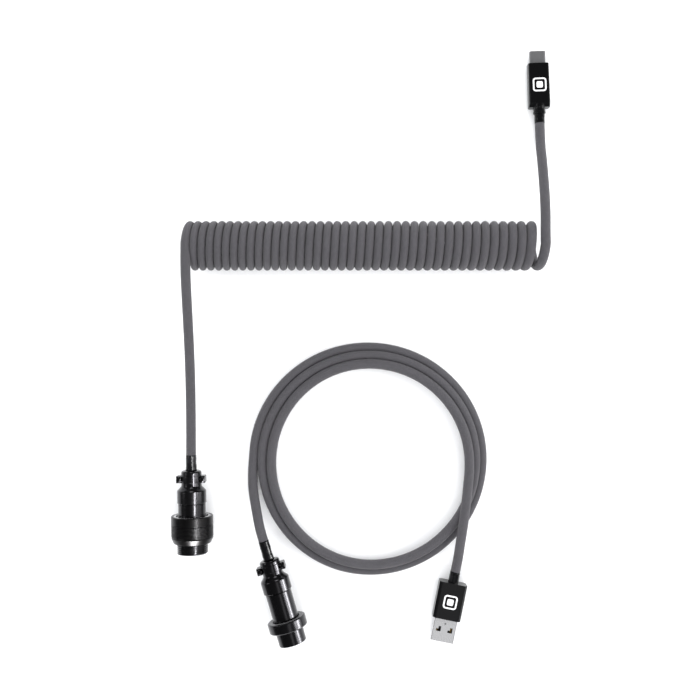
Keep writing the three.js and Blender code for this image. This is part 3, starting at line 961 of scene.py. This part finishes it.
@dataclass
class Plug(RoundConnector):
    """The round plug with a smooth nose and a plain captive nut."""

    rear: float = 10.0
    body_radius: float = 6.6
    body_from: float = 26.5
    nose_radius: float = 7.1
    nose_from: float = 43.8
    nose_end: float = 54.0
    nut_from: float = 41.2
    nut_length: float = 5.2
    nut_radius: float = 9.9

    def barrel(self) -> None:
        """The body and the smooth nose."""
        bm = bmesh.new()
        turned(
            bm,
            [
                *self.spigot(), (self.body_radius, self.nose_from), (self.nose_radius, self.nose_from),
                (self.nose_radius, self.nose_end - 0.25), (self.nose_radius - 0.25, self.nose_end),
                (6.6, self.nose_end), (6.45, self.nose_end - 0.15), (6.45, 45.0), (6.0, 45.0), (6.0, 41.0), (5.6, 41.0),
            ],
        )
        self.piece(bm, "barrel", BLACK_CHROME)

    def insert_and_contacts(self) -> None:
        """The insulator with a ringed hole for each of the other half's pins, and its five sleeves."""
        bm = bmesh.new()
        face = self.nose_end - 0.5
        outline = [(0, 41.3), (5.7, 41.3), (5.7, 45.3), (6.2, 45.3), (6.2, face - 0.2), (6.0, face), (0, face)]
        turned(bm, outline, closed=False)
        self.piece(bm, "insert", BLACK_PLASTIC)
        for i, (x, z) in enumerate(self.contact_places(), 1):
            bm = bmesh.new()
            turned(
                bm,
                [
                    (0, 37.8), (1.1, 37.8), (1.1, face + 0.02), (0.98, face + 0.14), (0.86, face + 0.14),
                    (0.78, face + 0.02), (0.78, face - 0.01), (0, face + 0.005),
                ],
                segments=28, closed=False,
            )
            bmesh.ops.translate(bm, verts=bm.verts, vec=(x, 0, z))
            self.piece(bm, f"contact_{i}", GOLD_PLATE)

    def coupling_nut(self) -> None:
        """The plain captive nut, chamfered at both ends."""
        start, end, radius = self.nut_from, self.nut_from + self.nut_length, self.nut_radius
        bm = bmesh.new()
        turned(
            bm,
            [
                (6.9, start + 0.2), (7.1, start), (radius - 0.55, start), (radius - 0.12, start + 0.3),
                (radius, start + 0.65), (radius, end - 0.4), (radius - 0.35, end), (8.2, end), (7.9, end - 0.3),
                (7.8, start + 1.4), (6.9, start + 1.4),
            ],
            segments=112,
        )
        self.piece(bm, "coupling_nut", BLACK_CHROME, ["coupling_nut"], body="coupling_nut")
        face = (start - 0.03, start + 0.1)
        self.flat_ring("coupling_nut_face", (7.3, radius - 0.6), face, GREY_STEEL, "coupling_nut")
        washer = (start + 1.7, start + 2.3)
        self.flat_ring("washer", (6.9, 7.5), washer, BLACK_PLASTIC, "coupling_nut_washer", ["coupling_nut_washer"])

    def build(self, frame: dict[str, Any]) -> None:
        """Builds and dresses the whole connector.

        Args:
            frame: the loaded frame.
        """
        self.rear_half(2.6, 0.1)
        self.barrel()
        self.insert_and_contacts()
        self.coupling_nut()
        self.keep_nodes(frame, core=DARK_JACKET)


def add_mesh(bm: BMesh, other: BMesh) -> None:
    """Moves one mesh's geometry into another.

    Args:
        bm: the mesh that keeps it.
        other: the mesh that is used up.
    """
    mesh = bpy.data.meshes.new("moved")
    other.to_mesh(mesh)
    other.free()
    bm.from_mesh(mesh)
    bpy.data.meshes.remove(mesh)


@dataclass
class FlatConnector(Connector):
    """What the two USB plugs share: a grip with a hollow front, a badge and a thin steel shell."""

    grip_from: float
    grip_end: float
    width: float
    height: float
    shell_width: float
    shell_height: float
    badge_size: float = 7.0
    badge_depth: float = 0.3
    mouth_depth: float = 0.8

    def hollow_front(self, bm: BMesh, rim: float, edge: float) -> None:
        """Sinks the grip's front inside a rim, and rounds the grip's other edges.

        Args:
            bm: the grip's mesh.
            rim: the rim's width.
            edge: the width of the rounding.
        """
        around = bmesh.ops.inset_region(bm, faces=facing(bm.faces, (0, 1, 0)), thickness=rim)["faces"]
        floor = [f for f in facing(bm.faces, (0, 1, 0)) if f not in set(around)]
        sink(bm, floor, (0, -self.mouth_depth, 0))
        round_edges(bm, sharp_edges(bm, lambda p: p.y < self.grip_end - 0.1, 40), edge, 2)

    def badge(self, y: float) -> None:
        """A plain key-cap mark in the grip's top: a rounded square frame round a smaller rounded square.

        Args:
            y: where its middle is along the connector.
        """
        bm = bmesh.new()
        size, top = self.badge_size, self.height / 2
        half, low, high = size / 2, top - self.badge_depth, top + 0.02
        for reach, corner, wall in ((half, size * 0.22, size * 0.11), (half * 0.46, size * 0.1, 0.0)):
            pad = bmesh.new()
            faces = block(pad, (-reach, -reach, low), (reach, reach, high))
            upright = {e for f in faces for e in f.edges if along_axis(e, 2)}
            round_edges(pad, upright, corner, 8)
            if wall:
                caps = facing(pad.faces, (0, 0, 1)) + facing(pad.faces, (0, 0, -1))
                bmesh.ops.delete(pad, geom=caps, context="FACES_ONLY")
                bmesh.ops.solidify(pad, geom=list(pad.faces), thickness=wall)
                bmesh.ops.recalc_face_normals(pad, faces=pad.faces)
            bmesh.ops.translate(pad, verts=pad.verts, vec=(0, y, 0))
            add_mesh(bm, pad)
        self.piece(bm, "badge", PALE_INLAY)

    def thin_shell(self, corner: float, start: float, end: float) -> BMesh:
        """A thin rectangular tube with rounded edges, open at its mouth and its back.

        Args:
            corner: its corner radius.
            start: where it begins along the connector.
            end: where its mouth is.

        Returns:
            The tube as a single sheet, for its windows and then its wall.
        """
        bm = bmesh.new()
        half, top = self.shell_width / 2, self.shell_height / 2
        block(bm, (-half, start, -top), (half, end, top), corner, 6)
        caps = facing(bm.faces, (0, 1, 0)) + facing(bm.faces, (0, -1, 0))
        bmesh.ops.delete(bm, geom=caps, context="FACES_ONLY")
        return bm

    def finish_shell(self, bm: BMesh, wall: float, finish: Finish) -> None:
        """Gives the shell's sheet its wall, inwards, and makes it a piece of that finish."""
        bmesh.ops.solidify(bm, geom=list(bm.faces), thickness=wall)
        bmesh.ops.recalc_face_normals(bm, faces=bm.faces)
        self.piece(bm, "shell", finish)


@dataclass
class UsbC(FlatConnector):
    """The USB-C plug with its slim grip."""

    grip_from: float = 8.0
    grip_end: float = 30.4
    width: float = 11.0
    front_width: float = 10.6
    height: float = 6.6
    corner: float = 1.5
    slope: float = 1.8
    shell_width: float = 8.34
    shell_height: float = 2.56

    def grip(self) -> None:
        """The grip: sloped at the back, with a round spine where the cable comes in."""
        bm = bmesh.new()
        half, top = self.width / 2, self.height / 2
        block(bm, (-half, self.grip_from, -top), (half, self.grip_end, top), self.corner, 5)
        for vert in bm.verts:
            share = (vert.co.y - self.grip_from) / (self.grip_end - self.grip_from)
            vert.co.x *= 1 + (self.front_width / self.width - 1) * share
        cut_across(bm, 1, [self.grip_from + self.slope])
        for vert in bm.verts:
            if vert.co.y < self.grip_from + 0.01 and vert.co.z > 0:
                vert.co.z *= 0.52
        self.hollow_front(bm, 1.1, 0.22)
        spine = bmesh.new()
        turned(
            spine,
            [(0, 7.9), (2.95, 7.9), (3.12, 8.3), (3.16, 11.6), (3.0, 12.6), (2.4, 13.6), (0, 14.2)],
            segments=48, closed=False,
        )
        for vert in spine.verts:
            vert.co.z *= 1.07
        add_mesh(bm, spine)
        self.piece(bm, "grip", BLACK_GRIP, [f"{self.prefix}_housing"])

    def collar(self) -> None:
        """The short collar behind the grip."""
        bm = bmesh.new()
        turned(
            bm,
            [(2.3, 4.9), (3.05, 4.9), (3.22, 5.1), (3.22, 5.6), (3.02, 5.9), (3.0, 7.2), (3.1, 7.7), (2.3, 7.8)],
            segments=64,
        )
        self.piece(bm, "collar", BLACK_GRIP)

    def shell(self) -> None:
        """The plain steel shell."""
        self.finish_shell(self.thin_shell(1.26, 24.0, self.reach), 0.25, GREY_STEEL)

    def build(self, frame: dict[str, Any]) -> None:
        """Builds and dresses the whole connector.

        Args:
            frame: the loaded frame.
        """
        self.shrink_sleeve(2.62, 4.9, 0.1)
        self.collar()
        self.grip()
        self.badge(self.grip_from + 11.2)
        self.shell()
        self.keep_nodes(
            frame, core=DARK_JACKET, insulator=BLACK_PLASTIC, board=GREEN_BOARD, contacts_upper=GOLD_PLATE,
            contacts_lower=GOLD_PLATE,
        )


@dataclass
class UsbA(FlatConnector):
    """The USB-A plug with its wide grip."""

    grip_from: float = 5.6
    grip_end: float = 24.4
    width: float = 14.4
    height: float = 8.0
    chamfer: float = 1.3
    shell_width: float = 12.0
    shell_height: float = 4.5
    shell_end: float = 36.3

    def grip(self) -> None:
        """The grip: a flat top and bottom between long chamfers."""
        bm = bmesh.new()
        half, top = self.width / 2, self.height / 2
        block(bm, (-half, self.grip_from, -top), (half, self.grip_end, top), self.chamfer, 1)
        self.hollow_front(bm, 0.95, 0.2)
        self.piece(bm, "grip", BLACK_GRIP, [f"{self.prefix}_housing"])

    def boot(self) -> None:
        """The short strain relief, with a groove round it."""
        bm = bmesh.new()
        turned(
            bm,
            [
                (2.15, 0.1), (2.5, 0.1), (2.62, 0.3), (2.62, 1.3), (2.5, 1.45), (2.5, 1.75), (2.62, 1.9),
                (2.66, 5.2), (2.66, 5.75), (2.15, 5.75),
            ],
            segments=56,
        )
        self.piece(bm, "boot", BLACK_SHRINK)

    def shell(self) -> None:
        """The steel shell, with two latch windows above and below, a tab left in each, and a small pip on top."""
        bm = self.thin_shell(0.5, 18.0, self.shell_end)
        places, half, tab_from = (-3, 3), 1.2, 0.1
        y0, y1 = self.shell_end - 7.7, self.shell_end - 5.1
        tab_end = y0 + 1.35
        cut_across(bm, 0, [x + cut for x in places for cut in (-half, tab_from, half)])
        cut_across(bm, 1, [y0, tab_end, y1])
        gone = []
        for face in bm.faces:
            middle = face.calc_center_median()
            near = [x for x in places if abs(middle.x - x) < half]
            if near and abs(face.normal.z) > 0.9 and y0 < middle.y < y1:
                if middle.x - near[0] <= tab_from or middle.y >= tab_end:
                    gone.append(face)
        bmesh.ops.delete(bm, geom=gone, context="FACES")
        self.finish_shell(bm, 0.3, DRAWN_STEEL)
        pip = bmesh.new()
        bmesh.ops.create_uvsphere(
            pip, u_segments=20, v_segments=10, radius=0.5,
            matrix=Matrix.Translation((0, y0 - 1.6, self.shell_height / 2 - 0.02)) @ Matrix.Diagonal((1, 1, 0.3, 1)),
        )
        self.piece(pip, "shell_pip", GREY_STEEL, ())

    def tongue(self) -> None:
        """The tongue that carries the contacts."""
        bm = bmesh.new()
        block(bm, (-5.4, 18.4, -1.6), (5.4, self.shell_end - 0.9, 0.0))
        block(bm, (-5.4, 18.4, 0.0), (5.4, 23.0, 1.35))
        round_edges(bm, sharp_edges(bm, lambda p: p.y > self.shell_end - 1.2, 60), 0.25, 2)
        self.piece(bm, "tongue", BLACK_PLASTIC)

    def build(self, frame: dict[str, Any]) -> None:
        """Builds and dresses the whole connector.

        Args:
            frame: the loaded frame.
        """
        self.boot()
        self.grip()
        self.badge(self.grip_from + 9.6)
        self.shell()
        self.tongue()
        self.keep_nodes(frame, core=DARK_JACKET, **{f"contact_{i}": GOLD_PLATE for i in range(1, 5)})


# ------------------------------------------------------------------ cable
def smooth_run(points: Sequence[Point], step: float) -> np.ndarray:
    """A smooth line through points.

    Args:
        points: the points, in order.
        step: the distance between the line's own points.

    Returns:
        The line's points, one to a row.
    """
    p = np.array(points, float)
    t = np.concatenate(([0.0], np.cumsum(np.linalg.norm(np.diff(p, axis=0), axis=1))))
    slope = np.gradient(p, t, axis=0)
    s = np.linspace(0, t[-1], max(2, round(t[-1] / step)) + 1)
    i = np.clip(np.searchsorted(t, s, side="right") - 1, 0, len(t) - 2)
    h = (t[i + 1] - t[i])[:, None]
    u = (s - t[i])[:, None] / h
    return (
        (2 * u**3 - 3 * u**2 + 1) * p[i]
        + (u**3 - 2 * u**2 + u) * h * slope[i]
        + (3 * u**2 - 2 * u**3) * p[i + 1]
        + (u**3 - u**2) * h * slope[i + 1]
    )


@dataclass
class Cable:
    """A stretch of braided cable, swept along its centreline. Sizes are in millimetres."""

    name: str
    body: str
    nodes: tuple[str, ...]
    diameter: float = 5.0
    sides: int = 20
    reference: Point = (0.0, 0.0, 1.0)

    def sweep(self, line: np.ndarray, widths: np.ndarray) -> bpy.types.Object:
        """Rolls a flat sheet into a tube along the line, and maps it with length along U and one turn in V.

        Args:
            line: the centreline's points.
            widths: the cable's width across the reference direction at each point.

        Returns:
            The tube, in metres.
        """
        rings = len(line)
        tangent = np.gradient(line, axis=0)
        tangent /= np.linalg.norm(tangent, axis=1)[:, None]
        axial = np.array(self.reference) - tangent * (tangent @ np.array(self.reference))[:, None]
        axial /= np.linalg.norm(axial, axis=1)[:, None]
        radial = np.cross(tangent, axial)
        lengths = np.concatenate(([0.0], np.cumsum(np.linalg.norm(np.diff(line, axis=0), axis=1)))) * MM
        bm = bmesh.new()
        uv = bm.loops.layers.uv.new("UVMap")
        bmesh.ops.create_grid(bm, x_segments=self.sides, y_segments=rings - 1, size=1)
        for face in bm.faces:
            for loop in face.loops:
                column, row = (loop.vert.co.x + 1) / 2, round((loop.vert.co.y + 1) / 2 * (rings - 1))
                loop[uv].uv = (lengths[row], column)
        for vert in bm.verts:
            angle = (vert.co.x + 1) / 2 * FULL_TURN
            row = round((vert.co.y + 1) / 2 * (rings - 1))
            offset = axial[row] * widths[row] / 2 * math.cos(angle) + radial[row] * self.diameter / 2 * math.sin(angle)
            vert.co = Vector((line[row] + offset) * MM)
        bmesh.ops.remove_doubles(bm, verts=bm.verts, dist=1e-6)
        bmesh.ops.holes_fill(bm, edges=[e for e in bm.edges if e.is_boundary], sides=0)
        bmesh.ops.recalc_face_normals(bm, faces=bm.faces)
        return make_object(bm, self.name, 60)

    def declare(self, tube: bpy.types.Object, line: np.ndarray, lay: str) -> None:
        """Hides the CAD nodes that the cable stands for, and dresses it.

        Args:
            tube: the cable's mesh.
            line: its centreline in millimetres; not used.
            lay: how it lies; not used.
        """
        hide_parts(*self.nodes)
        Dresser.dress(tube, GREY_BRAID)


@dataclass
class CoiledCable(Cable):
    """The USB-C half's cable: a lead, a tight left-handed coil and a lead to the socket."""

    turns: int = 41
    centre: tuple[float, float] = (51.4, 12.5)
    coil_radius: float = 10.05
    first_x: float = -87.6
    first_pitch: float = 4.0
    pitch_growth: float = 0.6
    last_pitch: float = 7.2
    per_turn: int = 40
    touching: float = 0.985
    usb_c_lead: tuple[Point, ...] = (
        (92.2, 115.85, 3.3), (92.35, 111, 3.45), (92.3, 104.5, 5), (92.1, 95, 9.9), (91.8, 85, 15), (91.6, 75, 19),
        (91.4, 65, 21.5), (91.25, 58, 22.3),
    )
    socket_lead: tuple[Point, ...] = (
        (-87.65, 45, 22.4), (-87.7, 38, 21.9), (-87.6, 28, 20.1), (-87.4, 10, 15.8), (-87.15, -10, 12.2),
        (-87, -30, 10.5), (-86.9, -45, 10.4), (-86.85, -54.9, 10.65),
    )

    def coil(self) -> tuple[np.ndarray, np.ndarray, np.ndarray]:
        """Works out the coil from its left end to its right.

        Returns:
            Its points, the cable's width at each, and each point's share of the way from right to left.
        """
        pitches = self.first_pitch + self.pitch_growth * np.arange(self.turns - 1) / (self.turns - 1)
        pitches = np.append(pitches, self.last_pitch)
        stations = self.first_x + np.concatenate(([0.0], np.cumsum(pitches)))
        turn = np.arange(self.turns * self.per_turn + 1) / self.per_turn
        spacing = np.interp(turn, np.arange(self.turns) + 0.5, pitches)
        x = np.interp(turn, np.arange(self.turns + 1), stations)
        angle = turn * FULL_TURN
        y, z = self.centre
        points = np.column_stack((x, y + self.coil_radius * np.sin(angle), z + self.coil_radius * np.cos(angle)))
        ease = np.clip(np.minimum(turn, self.turns - turn) / 0.25, 0, 1)
        squeezed = np.minimum(self.diameter, spacing * self.touching)
        return points, self.diameter + (squeezed - self.diameter) * ease, 1 - turn / self.turns

    def build(self, stretched_body: str) -> None:
        """Makes the cable, and works out each of its corners' share of the way along the coil.

        Args:
            stretched_body: the body that the coil's far end follows; not used.
        """
        coil, widths, share = (part[::-1] for part in self.coil())
        right = smooth_run([*self.usb_c_lead, tuple(coil[0])], 2.2)[:-1]
        left = smooth_run([tuple(coil[-1]), *self.socket_lead], 2.2)[1:]
        line = np.vstack((right, coil, left))
        widths = np.concatenate((np.full(len(right), self.diameter), widths, np.full(len(left), self.diameter)))
        share = np.concatenate((np.zeros(len(right)), share, np.ones(len(left))))
        tube = self.sweep(line, widths)
        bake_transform(tube)
        self.share_stretch(tube, line, share)
        self.declare(tube, line, "coiled")

    def share_stretch(self, tube: bpy.types.Object, line: np.ndarray, share: np.ndarray) -> None:
        """Works out, for each corner of the tube, the share of its nearest centreline point along the coil.

        Args:
            tube: the tube.
            line: its centreline.
            share: each centreline point's share.
        """
        corners = np.zeros(len(tube.data.vertices) * 3)
        tube.data.vertices.foreach_get("co", corners)
        corners = corners.reshape(-1, 3) / MM
        weights = np.empty(len(corners))
        batch = 2000
        for start in range(0, len(corners), batch):
            some = corners[start : start + batch]
            apart = ((some[:, None, :] - line[None, :, :]) ** 2).sum(axis=2)
            weights[start : start + batch] = share[apart.argmin(axis=1)]


@dataclass
class RingedCable(Cable):
    """The USB-A half's cable: a short lead, a flat ring of two and a half turns and a lead over it."""

    centre: tuple[float, float] = (3.3, -57.6)
    quarters: tuple[tuple[float, float], ...] = (
        (59.1, 2.7), (57.6, 2.5), (59.1, 2.5), (57.7, 2.5), (54.5, 3.6), (53.4, 5.0), (55.4, 5.6), (54.1, 5.9),
        (49.7, 4.8), (49.1, 7.3), (51.8, 8.8),
    )
    per_quarter: int = 8
    plug_lead: tuple[Point, ...] = (
        (-50.07, -98.7, 9.9), (-51.3, -94.6, 9.8), (-52.4, -90.4, 9.3), (-53.6, -85, 7.6), (-54.9, -79, 5.6),
        (-55.9, -73, 4.1), (-56.2, -67.5, 3.2),
    )
    usb_a_lead: tuple[Point, ...] = (
        (54.9, -64, 9.9), (54.3, -70, 10.3), (53.3, -78.9, 10.7), (52.4, -86, 10.5), (51.6, -92.2, 10),
        (51, -96.5, 9.6), (50.5, -101, 8.3), (50, -106.6, 5.9), (49.3, -111.9, 4.2), (48.5, -115.8, 4),
    )

    def build(self) -> None:
        """Makes the cable."""
        spread = 20
        keys = [(i * spread, radius, z) for i, (radius, z) in enumerate(self.quarters)]
        radius_and_height = smooth_run(keys, spread / self.per_quarter)
        angle = math.pi - radius_and_height[:, 0] / spread * math.pi / 2
        x = self.centre[0] + radius_and_height[:, 1] * np.cos(angle)
        y = self.centre[1] + radius_and_height[:, 1] * np.sin(angle)
        ring = np.column_stack((x, y, radius_and_height[:, 2]))
        line = smooth_run([*self.plug_lead, *map(tuple, ring), *self.usb_a_lead], 1.8)
        tube = self.sweep(line, np.full(len(line), self.diameter))
        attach(tube, self.body)
        self.declare(tube, line, "coiled")


# ------------------------------------------------------------------ studio
@dataclass(frozen=True)
class Softbox:
    """One rectangular studio light, which flags may keep to some of the pieces."""

    name: str
    place: Point
    aim: Point
    size: tuple[float, float]
    power: float
    only: str = ""

    def build(self) -> None:
        """Makes the light, unseen by the camera itself."""
        data = bpy.data.lights.new(self.name, "AREA")
        data.shape = "RECTANGLE"
        data.size, data.size_y = self.size
        data.energy = self.power
        lamp = bpy.data.objects.new(self.name, data)
        bpy.context.scene.collection.objects.link(lamp)
        lamp.location = self.place
        lamp.rotation_euler = (Vector(self.aim) - Vector(self.place)).to_track_quat("-Z", "Y").to_euler()
        lamp.visible_camera = False

    def flag(self) -> None:
        """Keeps the light to the pieces whose names begin as it says."""
        if not self.only:
            return
        lit = bpy.data.collections.new(f"{self.name}_lit")
        for piece in bpy.context.scene.objects:
            if piece.type == "MESH" and piece.name.startswith(self.only):
                lit.objects.link(piece)
        bpy.context.scene.objects[self.name].light_linking.receiver_collection = lit


@dataclass
class Studio:
    """The camera straight above, the pale table and the soft lights."""

    camera_place: Point = (-0.0059, -0.0014, 0.480)
    lens: float = 47.4
    floor_size: float = 14.0
    table_colour: Colour = (0.97, 0.97, 0.97)
    room_strength: float = 1.34
    polished_strength: float = 0.13
    softboxes: tuple[Softbox, ...] = (
        Softbox("right_high", (1.22, 0.0, 0.92), (0.0, -0.1, 0.0), (0.45, 0.3), 6.0),
        Softbox("right_low", (1.5, 0.05, 0.42), (0.0, -0.08, 0.1), (0.7, 0.7), 5.5),
        Softbox("left_side", (-1.5, 0.1, 0.9), (0.0, 0.0, 0.0), (0.6, 0.5), 3.0),
        Softbox("front_side", (0.02, -1.1, 1.0), (0.0, -0.1, 0.0), (0.6, 0.16), 4.5),
        Softbox("back_side", (0.0, 1.5, 0.95), (0.0, 0.0, 0.0), (0.6, 0.35), 6.0),
        Softbox("socket_strip", (0.55, -0.28, 1.0), (-0.087, -0.09, 0.0), (1.0, 0.1), 23.0, "socket."),
        Softbox("socket_front", (0.19, -1.22, 0.6), (-0.085, -0.1, 0.0), (0.7, 0.2), 105.0, "socket."),
        Softbox("plug_strip", (1.5, 0.0, 0.52), (0.0, -0.1, 0.0), (0.45, 0.34), 18.0, "plug."),
        Softbox("plug_fill", (0.28, -0.3, 1.0), (-0.04, -0.13, 0.0), (0.55, 0.2), 0.42, "plug."),
        Softbox("shell_fill", (0.154, -0.42, 1.0), (0.05, -0.14, 0.0), (0.4, 0.4), 0.4, "usb_a."),
    )

    def build(self) -> None:
        """Makes the camera, the table, the lights and the surroundings."""
        data = bpy.data.cameras.new("camera")
        data.lens, data.sensor_width = self.lens, 36.0
        data.clip_start, data.clip_end = 0.01, 50.0
        camera = bpy.data.objects.new("camera", data)
        bpy.context.scene.collection.objects.link(camera)
        camera.location = self.camera_place
        bpy.context.scene.camera = camera
        self.table()
        for softbox in self.softboxes:
            softbox.build()
        self.surroundings()
        bpy.context.scene.view_settings.view_transform = "Standard"

    def flag_lights(self) -> None:
        """Sets the lights' flags, once every piece is there."""
        for softbox in self.softboxes:
            softbox.flag()

    def table(self) -> None:
        """The plain pale table top."""
        bm = bmesh.new()
        bmesh.ops.create_grid(bm, x_segments=1, y_segments=1, size=self.floor_size / 2)
        bmesh.ops.translate(bm, verts=bm.verts, vec=(0, 0, -0.0001))
        top = make_object(bm, "table_top", 60)
        material = bpy.data.materials.new("pale_table")
        material.use_nodes = True
        shader = material.node_tree.nodes["Principled BSDF"]
        shader.inputs["Base Color"].default_value = (*self.table_colour, 1.0)
        shader.inputs["Roughness"].default_value = 0.9
        shader.inputs["Specular IOR Level"].default_value = 0.1
        top.data.materials.append(material)

    def surroundings(self) -> None:
        """A pale room for soft light, which polished pieces see as a dim one."""
        world = bpy.data.worlds.new("studio")
        bpy.context.scene.world = world
        world.use_nodes = True
        graph = Graph(world.node_tree)
        glossy = graph.add("ShaderNodeLightPath").outputs["Is Glossy Ray"]
        strength = graph.span(glossy, self.room_strength, self.polished_strength)
        background = graph.add("ShaderNodeBackground", {"Color": (0.97, 0.98, 1.0, 1.0), "Strength": strength})
        graph.add("ShaderNodeOutputWorld", {"Surface": background.outputs[0]})


# ------------------------------------------------------------------ the whole cable
def main() -> None:
    """Builds everything round the frame."""
    logging.basicConfig(level=logging.INFO, format="%(name)s: %(message)s")
    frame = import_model()
    record = frame["record"]
    studio = Studio()
    studio.build()
    CoiledCable(
        "coiled_cable", "usb_c_end", ("usb_c_lead", "coil_cord", "socket_lead"), reference=(1.0, 0.0, 0.0)
    ).build("socket_end")
    RingedCable("ringed_cable", "usb_a_lead_half", ("plug_lead", "ring_coil", "usb_a_lead")).build()
    UsbC(record, "usb_c_end", "usb_c", "usb_c_mouth", 37.05, 1.155).build(frame)
    Socket(record, "socket_end", "socket", "socket_rim", 49.9, 7.55).build(frame)
    Plug(record, "usb_a_lead_half", "plug", "plug_rim", 54.0, 6.8).build(frame)
    UsbA(record, "usb_a_lead_half", "usb_a", "usb_a_mouth", 36.3, -2.1).build(frame)
    studio.flag_lights()


if __name__ == "__main__":
    main()
